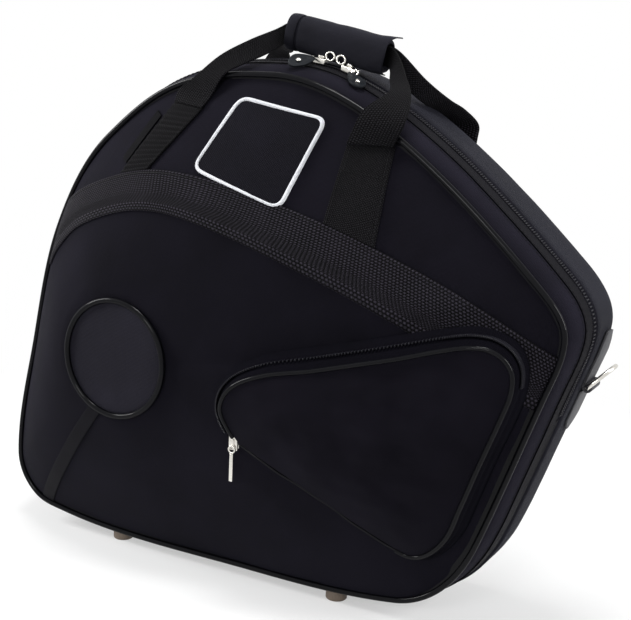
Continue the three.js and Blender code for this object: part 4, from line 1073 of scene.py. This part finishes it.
def pocket_cord_point(share):
    place = curve_point(POCKET_EDGE, share) + pocket_out(share) * POCKET_CORD_OUT
    return pocket_front(place, POCKET_CORD_LIFT)


pocket_line = [pocket_cord_point(0.015 + 0.985 * k / POCKET_CORD_STEPS)
               for k in range(POCKET_CORD_STEPS + 1)]
piping("pocket_cord", "pocket_flap", pocket_line, POCKET_CORD_RADIUS, "pocket_piping")


def pocket_seam_point(share):
    """The panel's folded edge, sewn to the lid and pulled in a little by its thread."""
    pull = 1.6 + 0.7 * math.sin(3.2 * math.pi * share) + 0.3 * math.sin(9 * math.pi * share)
    place = POCKET_EDGE[-1].lerp(POCKET_EDGE[0], share) - seam_away * pull
    return skin(*place)[0] - DEPTH * (POCKET_SEAM + SEAM_LIFT) * MM


seam_line = [pocket_seam_point(k / POCKET_SEAM_STEPS) for k in range(POCKET_SEAM_STEPS + 1)]
piping("pocket_seam", "pocket_flap", seam_line, SEAM_RADIUS, sides=3)


def pocket_wall_place(u, v):
    share = WALL_FIRST + WALL_SPAN * u
    out = pocket_out(share)
    low = skin(*(curve_point(POCKET_BASE, share) + out * 1.5), 0.4)[0]
    high = pocket_front(curve_point(POCKET_EDGE, share), 0.5)
    swell = 1.8 * math.sin(math.pi * v) - 1.5 * math.exp(-((v - GROOVE) / GROOVE_WIDTH) ** 2)
    return low.lerp(high, v) + Vector((out.x, 0.0, out.y)) * swell * MM


def outward_of_pocket(place):
    away = place - spot(POCKET_MIDDLE.x, 0.0, POCKET_MIDDLE.y)
    return Vector((away.x, 0.0, away.z))


done(sheet_of(260, 20, pocket_wall_place, 1.4, outward_of_pocket, edge=0.0),
     "pocket_wall", "lid", "pocket_cloth", "cloth", "pocket_gusset")


def pocket_tooth(share):
    """Where a tooth of the pocket's coil stands, in the groove of its wall."""
    out = pocket_out(share)
    out = Vector((out.x, 0.0, out.y))
    here = pocket_wall_place((share - WALL_FIRST) / WALL_SPAN, GROOVE)
    ahead = pocket_wall_place((share + 0.005 - WALL_FIRST) / WALL_SPAN, GROOVE) - here
    return placing(here + out * TOOTH_STAND * MM, ahead.normalized(), out)


pocket_teeth = [pocket_tooth(0.03 + 0.6 * (k + 0.5) / POCKET_TEETH) for k in range(POCKET_TEETH)]
done(repeat(tooth_base(*POCKET_TOOTH), pocket_teeth),
     "pocket_coil", "lid", "coil", "teeth", "pocket_zip_teeth", angle=30)


# Carrying handles and the padded grip


def handle_place(across, depth, height):
    x, z = placed((across, min(height, 1.0)))
    y = depth * (LID_RIM if depth < 0 else BACK)
    return Vector((x, y, z + max(height - 1.0, 0.0) * HANDLE_RISE))


def handle_line(*shares):
    return [handle_place(*share) for share in shares]


GRIP_FROM = handle_place(0.015, 0.125, 2) + Vector((-5.8, 0.0, 1.0))
GRIP_TO = handle_place(0.374, 0.125, 1.668) + Vector((-13.0, 0.0, -4.6))
grip_up = (GRIP_TO - GRIP_FROM).normalized().cross(DEPTH)
LOOP_APART, LOOP_HALF_WIDTH, LOOP_THICKNESS = 3.1, 8.0, 2.0
SEWN_UP, SEWN_FORWARD, SEWN_LEAST = 1.0, 3.4, 7.0


def handle_edge(side, height, left, right):
    """One edge of a handle's webbing: up its left end, through the grip and down its right end."""
    aside = DEPTH * side * LOOP_APART + grip_up * height * LOOP_HALF_WIDTH
    inside = [GRIP_FROM.lerp(GRIP_TO, share) + aside for share in (-0.03, 0.14, 0.5, 0.86, 1.03)]
    return left + inside + right


def sewn_start(corner):
    """Where the free webbing leaves its sewn foot, a little in front of the cloth."""
    x, z = corner[0], corner[1] + SEWN_UP
    cloth = skin(x, z)[0].y / MM - FLOOR_SHIFT.y
    return [Vector((x, min(cloth - SEWN_FORWARD, -LID_RIM - SEWN_LEAST), z))]


def strap_loop(outer, inner, body, finish, node):
    piece = sheet_of(170, 12, lambda u, v: spot(*curve_point(outer, u).lerp(curve_point(inner, u), v)))
    modify(piece, "SOLIDIFY", thickness=LOOP_THICKNESS * MM, offset=0.0)
    bevel(piece, 0.5 * MM, 2, 60)
    done(piece, body, body, finish, "webbing", node)


front_outer = handle_edge(-1, 1, sewn_start(LEFT_FOOT[3]) + handle_line(
    (-0.305, -1.2, 0.963), (-0.241, -1.2, 0.993), (-0.17, -0.997, 1.413), (-0.1, -0.665, 1.777),
    (-0.05, -0.148, 2.056),
), handle_line(
    (0.43, -0.369, 1.08), (0.478, -0.849, 0.973), (0.485, -1.2, 0.93),
) + sewn_start(RIGHT_FOOT[2]))
front_inner = handle_edge(-1, -1, sewn_start(LEFT_FOOT[2]) + handle_line(
    (-0.18, -1.292, 0.951), (-0.135, -1.2, 0.999), (-0.092, -0.978, 1.218), (-0.05, -0.609, 1.437),
    (-0.03, -0.185, 1.643),
), handle_line(
    (0.375, -0.406, 1.03), (0.405, -0.868, 0.982), (0.355, -1.255, 0.95),
) + sewn_start(RIGHT_FOOT[3]))
rear_outer = handle_edge(1, 1, handle_line(
    (-0.363, 1.024, 0.927), (-0.34, 1.035, 0.961), (-0.29, 1.06, 1.085), (-0.222, 0.89, 1.522),
    (-0.16, 0.66, 1.728), (-0.08, 0.36, 1.971),
), handle_line(
    (0.432, 0.33, 1.06), (0.48, 0.66, 0.968), (0.51, 0.86, 0.95), (0.54, 1.05, 0.92),
    (0.54, 1.035, 0.897), (0.533, 1.024, 0.865),
))
rear_inner = handle_edge(1, -1, handle_line(
    (-0.204, 1.024, 0.911), (-0.193, 1.035, 0.943), (-0.165, 1.06, 0.988), (-0.14, 0.89, 1.364),
    (-0.11, 0.66, 1.522), (-0.05, 0.36, 1.571),
), handle_line(
    (0.385, 0.33, 0.978), (0.415, 0.66, 0.95), (0.42, 0.86, 0.935), (0.38, 1.05, 0.92),
    (0.363, 1.035, 0.897), (0.36, 1.024, 0.865),
))
strap_loop(front_outer, front_inner, "front_handle", "strap", "front_handle_loop")
strap_loop(rear_outer, rear_inner, "rear_handle", "rear_strap", "rear_handle_loop")

FOOT_LENGTH, FOOT_STAND = 109.0, 1.9


def rear_foot(name, outer_end, inner_end, node):
    across = inner_end - outer_end
    down = Vector((across.z, 0.0, -across.x)).normalized()
    down *= -1.0 if down.z > 0 else 1.0

    def at(u, v):
        place = outer_end.lerp(inner_end, v) + down * (1.0 + FOOT_LENGTH * u)
        return spot(place.x, BACK + FOOT_STAND, place.z)
    done(sheet_of(40, 12, at, 1.6, lambda place: DEPTH), name, "rear_half", "rear_strap", "webbing", node)

    def line(a, b):
        return lambda t: (at(*straight(a, b, t)) + DEPTH * 0.15 * MM, DEPTH)
    box = [(0.04, 0.08), (0.04, 0.92), (0.34, 0.92), (0.34, 0.08)]
    ends = [(box[k - 1], box[k]) for k in range(4)] + [(box[0], box[2]), (box[1], box[3])]
    ends += [((0.34, 0.05), (0.97, 0.05)), ((0.34, 0.95), (0.97, 0.95)), ((0.97, 0.05), (0.97, 0.95))]
    stitches(name + "_stitches", [line(*pair) for pair in ends], "rear_half", length=2.6, pitch=3.4)


rear_foot("rear_left_foot", rear_outer[0], rear_inner[0], "rear_strap_left")
rear_foot("rear_right_foot", rear_outer[-1], rear_inner[-1], "rear_strap_right")

GRIP_HALF_HIGH, GRIP_HALF_DEEP = 14.6, 12.6
GRIP_WALL, GRIP_CORNERS, GRIP_DRAWN_IN = 3.6, 2.6, 0.9
PUFF_FRAMES, PUFF_VOXEL, PUFF_PRESSURE, PUFF_CAP = 16, 0.0028, 2.0, 2.2


def grip_spot(share, turn, radius):
    """On the padded loop, which is flatter in front and behind than at its top and bottom."""
    c, s = math.cos(turn), math.sin(turn)
    shape = (abs(c) ** GRIP_CORNERS + abs(s) ** GRIP_CORNERS) ** (-1 / GRIP_CORNERS)
    section = DEPTH * c * (GRIP_HALF_DEEP + radius) + grip_up * s * (GRIP_HALF_HIGH + radius)
    return spot(*(GRIP_FROM.lerp(GRIP_TO, share) + section * shape))


def grip_place(u, v):
    """The loop's outside for v below a half, drawn in at both ends, and its inside beyond."""
    outside = v < 0.5
    share = v * 2.0 if outside else 2.0 - v * 2.0
    drawn_in = -GRIP_DRAWN_IN * math.exp(-min(share, 1.0 - share) / 0.03)
    return grip_spot(-0.005 + 1.01 * share, 2 * math.pi * u, drawn_in if outside else -GRIP_WALL)


def puff(piece):
    """Lets the padding swell as cloth under a little pressure; no point moves further than a cap."""
    remesh(piece, PUFF_VOXEL)
    start = [v.co.copy() for v in piece.data.vertices]
    cloth = piece.modifiers.new("cloth", "CLOTH")
    cloth.settings.use_pressure = True
    cloth.settings.uniform_pressure_force = PUFF_PRESSURE
    cloth.settings.effector_weights.gravity = 0.0
    cloth.point_cache.frame_start = 1
    cloth.point_cache.frame_end = PUFF_FRAMES
    for number in range(1, PUFF_FRAMES + 1):
        scene.frame_set(number)
    select_only(piece)
    bpy.ops.object.modifier_apply(modifier="cloth")
    scene.frame_set(1)
    for vertex, place in zip(piece.data.vertices, start):
        move = vertex.co - place
        if move.length > PUFF_CAP * MM:
            vertex.co = place + move.normalized() * PUFF_CAP * MM


grip = sheet_of(64, 64, grip_place, joined=True)
edit_all(grip, (bpy.ops.mesh.remove_doubles, {"threshold": 0.0001}),
         (bpy.ops.mesh.normals_make_consistent, {"inside": False}))
puff(grip)
subdivide(grip, 1)
done(grip, "grip_pad", "rear_handle", "side_cloth", "cloth", "handle_wrap")


def from_grip(share):
    middle = spot(*GRIP_FROM.lerp(GRIP_TO, share))
    return lambda place: place - middle


BINDING_FROM, BINDING_TO = -0.03, 0.075


def binding_place(u, v):
    share = BINDING_FROM + (BINDING_TO - BINDING_FROM) * v
    return grip_spot(share, 2 * math.pi * u, 0.7 + 0.5 * math.sin(math.pi * v))


done(sheet_of(96, 6, binding_place, 1.0, from_grip(BINDING_FROM), edge=0.2, joined=True),
     "grip_binding", "rear_handle", "side_cloth", "cloth")


FLAP_TURN_FROM, FLAP_TURN = 258, -186
FLAP_LIFT, FLAP_SWELL, FLAP_CORNER_RISE = 0.9, 0.7, 2.6


def flap_place(u, v):
    """The closing flap comes up the front and over the top, and its free corner stands off."""
    corner = max(u - 0.85, 0.0) / 0.15 * max(v - 0.6, 0.0) / 0.4
    lift = FLAP_LIFT + FLAP_SWELL * math.sin(math.pi * v) + FLAP_CORNER_RISE * corner
    turn = math.radians(FLAP_TURN_FROM + FLAP_TURN * v)
    return grip_spot(0.11 + 0.91 * u + 0.05 * corner, turn, lift)


flap = sheet_of(60, 60, flap_place, 1.2, from_grip(0.5), edge=0.3)
ripple(flap, 14, 0.5, 9)
done(flap, "grip_flap", "rear_handle", "side_cloth", "cloth")


# Zip sliders, their leather pulls, and the pocket's slider

ARC_RADIUS = 192.0
arc_x, arc_z = placed((0.025, 1))
ARC_CENTRE = Vector((arc_x, 0.0, arc_z + FLARE - ARC_RADIUS))
LEFT_DEGREES, RIGHT_DEGREES = 6.9, 14.8


def on_wall(piece, degrees):
    """Lays a piece made flat onto the side wall: X along it to the right, Y towards the back."""
    turn = math.radians(degrees)
    x = ARC_CENTRE.x + (ARC_RADIUS - FLARE) * math.sin(turn)
    z = ARC_CENTRE.z + (ARC_RADIUS - FLARE) * math.cos(turn)
    run = edge_run((x / HALF_WIDTH, z / HEIGHT))
    for vertex in piece.data.vertices:
        along, depth, height = vertex.co
        vertex.co = wall(run - along, depth, height)[0]
    piece.data.update()


def block(size, centre, edge):
    piece = primitive(bpy.ops.mesh.primitive_cube_add, size=1.0)
    edit_all(piece, (bpy.ops.transform.resize, {"value": size}),
             (bpy.ops.transform.translate, {"value": centre}),
             (bpy.ops.mesh.bevel, {"offset": edge, "segments": 3, "affect": "EDGES"}))
    return piece


def ring(major, minor, centre, degrees):
    piece = primitive(bpy.ops.mesh.primitive_torus_add, major_segments=28, minor_segments=10,
                      major_radius=major, minor_radius=minor, location=centre,
                      rotation=(math.radians(degrees), 0, 0))
    bpy.ops.object.transform_apply(location=True, rotation=True, scale=True)
    return piece


def joined_up(pieces):
    bpy.ops.object.select_all(action="DESELECT")
    for piece in pieces:
        piece.select_set(True)
    bpy.context.view_layer.objects.active = pieces[0]
    bpy.ops.object.join()
    return pieces[0]


def zip_slider(side, direction, degrees):
    piece = joined_up([
        block((12.5, 9.0, 1.6), (0, -1.9, 6.4), 0.6),
        block((9, 8.2, 1.0), (0, -2.0, 4.6), 0.3),
        block((11.5, 1.5, 4.0), (0, -6.2, 4.6), 0.5),
        block((5.0, 3.6, 2.4), (direction * 1.0, -2.2, 8.0), 0.8),
        ring(3.5, 0.95, (direction * 8.6, -4.6, 10.2), 90),
        ring(2.6, 0.75, (-direction * 6.2, -6.0, 5.4), 40),
    ])
    on_wall(piece, degrees)
    done(piece, f"{side}_slider", f"slider_{side}", "nickel", "nickel", f"slider_{side}")


zip_slider("left", 1, LEFT_DEGREES)
zip_slider("right", -1, RIGHT_DEGREES)

PULL_LENGTH, PULL_HALF_WIDTH = 27.0, 6.8


def pull_outline(piece, direction):
    """Draws a round piece out to a teardrop."""
    for vertex in piece.data.vertices:
        share = (vertex.co.x + PULL_HALF_WIDTH) / (2 * PULL_HALF_WIDTH)
        y = vertex.co.y * (0.55 + 0.45 * min(share * 1.6, 1.0))
        vertex.co = Vector((direction * (share * PULL_LENGTH - 1.0), y, vertex.co.z))
    piece.data.update()


def leather_pull(side, direction, degrees, lean, tip, lift):
    """A leather tab with a raised edge and a rivet: tipped, leaning, and hung beside its slider."""
    tipping = Matrix.Rotation(math.radians(tip), 4, "X")
    leaning = Matrix.Rotation(math.radians(lean) * direction, 4, "Z")
    lay = Matrix.Translation((direction * 3.5, -8.0, lift)) @ leaning @ tipping
    tab = primitive(bpy.ops.mesh.primitive_circle_add, vertices=56, radius=PULL_HALF_WIDTH,
                    fill_type="NGON")
    edit_all(tab, (bpy.ops.mesh.extrude_region_move, {"TRANSFORM_OT_translate": {"value": (0, 0, 2.2)}}))
    select_only(tab)
    bpy.ops.object.mode_set(mode="EDIT")
    bpy.ops.mesh.inset(thickness=0.9, use_even_offset=True)
    bpy.ops.transform.translate(value=(0, 0, -0.5))
    bpy.ops.object.mode_set(mode="OBJECT")
    edit_all(tab, (bpy.ops.mesh.normals_make_consistent, {"inside": False}))
    bevel(tab, 0.35, 3, 40)
    pull_outline(tab, direction)
    if direction < 0:
        flip(tab)

    def hang(piece, name, finish, *nodes):
        piece.data.transform(lay)
        on_wall(piece, degrees)
        done(piece, name, f"pull_{side}", finish, finish, *nodes)
    hang(tab, f"{side}_pull", "leather", f"pull_{side}")
    rivet = primitive(bpy.ops.mesh.primitive_uv_sphere_add, segments=24, ring_count=12, radius=2.5)
    edit_all(rivet, (bpy.ops.transform.resize, {"value": (1, 0.7, 0.45)}),
             (bpy.ops.transform.translate, {"value": (direction * PULL_LENGTH * 0.62, 0, 2.1)}))
    hang(rivet, f"{side}_pull_rivet", "nickel")


leather_pull("left", -1, LEFT_DEGREES, -72, 30, 5.4)
leather_pull("right", 1, RIGHT_DEGREES, -38, 6, 2.9)


def pocket_metal(name, body, node, pieces):
    piece = joined_up(pieces)
    piece.data.transform(Matrix.Scale(MM, 4))
    done(piece, name, body, "nickel", "nickel", node)


slider_low, slider_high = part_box("pocket_slider")
slider_middle = (slider_low + slider_high) / 2 / MM
pocket_metal("pocket_slider_body", "lid", "pocket_slider", [
    block((8.6, 2.2, 12.5), slider_middle + Vector((0, -1.6, 0)), 0.7),
    block((7.6, 1.6, 10.0), slider_middle + Vector((0, 1.6, 0)), 0.5),
    block((3.0, 2.6, 8.0), slider_middle + Vector((0, -2.6, 0)), 0.7),
])

pull_low, pull_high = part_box("pocket_pull")
pull_middle = (pull_low + pull_high) / 2 / MM
pocket_metal("pocket_tag", "pocket_pull", "pocket_pull", [
    block((3.4, 1.5, 25.0), pull_middle + Vector((0, 0, -4.0)), 0.6),
    ring(3.0, 0.7, pull_middle + Vector((0, 0, 12.0)), 90),
])


# Strap rings and their tabs


def soft_copy(node, name, finish, slot, edge=0.5, levels=1):
    piece = copy_of(node)
    bevel(piece, edge * MM, 2, 38)
    subdivide(piece, levels, subdivision_type="SIMPLE")
    done(piece, name, "rear_half", finish, slot, node)


for side in ("right", "left"):
    soft_copy(f"ring_tab_{side}_upper", f"{side}_tab_top", "vinyl", "vinyl")
    soft_copy(f"ring_tab_{side}_lower", f"{side}_tab_foot", "vinyl", "vinyl")
    loop = copy_of(f"dring_{side}")
    subdivide(loop, 2)
    done(loop, f"{side}_strap_ring", f"ring_{side}", "nickel", "nickel", f"dring_{side}")


# Glides

GLIDE_RADIUS, GLIDE_EDGE = 9.5, 1.4


def glide(name, node, body):
    low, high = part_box(node)
    piece = primitive(bpy.ops.mesh.primitive_cylinder_add, vertices=48, radius=GLIDE_RADIUS * MM,
                      depth=high.z - low.z, location=(low + high) / 2)
    bpy.ops.object.transform_apply(location=True, rotation=True, scale=True)
    bevel(piece, GLIDE_EDGE * MM, 4, 50)
    done(piece, name, body, "glide", "glide", node)


for half, body in (("front", "lid"), ("rear", "rear_half")):
    for side in ("left", "right"):
        glide(f"{half}_{side}_glide", f"foot_{half}_{side}", body)


# Foam inside, and the straps over it


FOAM_VOXEL = 0.0045


def foam(node, name, body, seed):
    piece = copy_of(node)
    remesh(piece, FOAM_VOXEL)
    modify(piece, "SMOOTH", iterations=6, factor=0.6)
    ripple(piece, 30, 0.8, seed)
    done(piece, name, body, "lining", "foam", node)


foam("lid_foam_ring", "lid_lining", "lid", 6)
foam("rear_foam_bed", "horn_bed", "rear_half", 8)
for level in ("upper", "lower"):
    soft_copy(f"bed_strap_{level}", f"bed_strap_{level}_webbing", "tape", "webbing", 0.4, 2)


# Floor, lamps and world

floor = primitive(bpy.ops.mesh.primitive_plane_add, size=30.0, location=(0, 0, 0))
floor.name = "floor"


def mixed(tree, share, a, b):
    node = new_node(tree, "MixShader")
    for value, socket in zip((share, a, b), node.inputs):
        tree.links.new(value, socket)
    return node.outputs[0]


def make_floor_finish():
    """Pale and matt near the object, where its shadow falls, and plain white further away."""
    material, tree, shader, where = finish_tree("pale floor", 0.9, Base_Color=(0.94, 0.94, 0.94, 1.0))
    rays = new_node(tree, "LightPath").outputs
    seen = maths(tree, "MAXIMUM", rays["Is Camera Ray"], rays["Is Glossy Ray"])
    away = new_node(tree, "VectorMath", "LENGTH", Vector=where.outputs["Object"]).outputs["Value"]
    far = new_node(tree, "MapRange", Value=away, From_Min=0.25, From_Max=0.75, To_Min=0.45)
    share = maths(tree, "MULTIPLY", seen, far.outputs["Result"])
    white = new_node(tree, "Emission").outputs[0]
    surface = tree.nodes["Material Output"].inputs["Surface"]
    tree.links.new(mixed(tree, share, shader.outputs[0], white), surface)
    return material


floor.data.materials.append(make_floor_finish())


def lamp(name, place, target, size, power):
    light = bpy.data.lights.new(name, "AREA")
    light.shape = "RECTANGLE"
    light.size, light.size_y = size
    light.energy = power
    aim = (Vector(target) - Vector(place)).to_track_quat("-Z", "Y")
    linked(name, light).matrix_world = Matrix.Translation(place) @ aim.to_matrix().to_4x4()


lamp("left softbox", (-1.7, -0.7, 1.2), (0, 0, 0.25), (0.5, 1.0), 36)
lamp("right softbox", (1.9, 0.4, 1.1), (0, 0, 0.25), (0.5, 1.1), 30)
lamp("top softbox", (0.1, -0.1, 2.0), (0, 0, 0.2), (0.8, 0.35), 24)
lamp("front softbox", (0.2, -2.4, 1.3), (0, 0, 0.22), (0.8, 0.4), 18)


world = bpy.data.worlds.new("studio")
scene.world = world
world.use_nodes = True
sky = world.node_tree
sky.nodes.clear()
rays = new_node(sky, "LightPath").outputs
mirrored = maths(sky, "MAXIMUM", rays["Is Glossy Ray"], rays["Is Transmission Ray"])
seen = maths(sky, "MAXIMUM", rays["Is Camera Ray"], mirrored)
fill, bright = [new_node(sky, "Background", Color=(1, 1, 1, 1), Strength=strength).outputs[0]
                for strength in (0.25, 1.0)]
new_node(sky, "OutputWorld", Surface=mixed(sky, seen, fill, bright))

scene.view_settings.view_transform = "Standard"
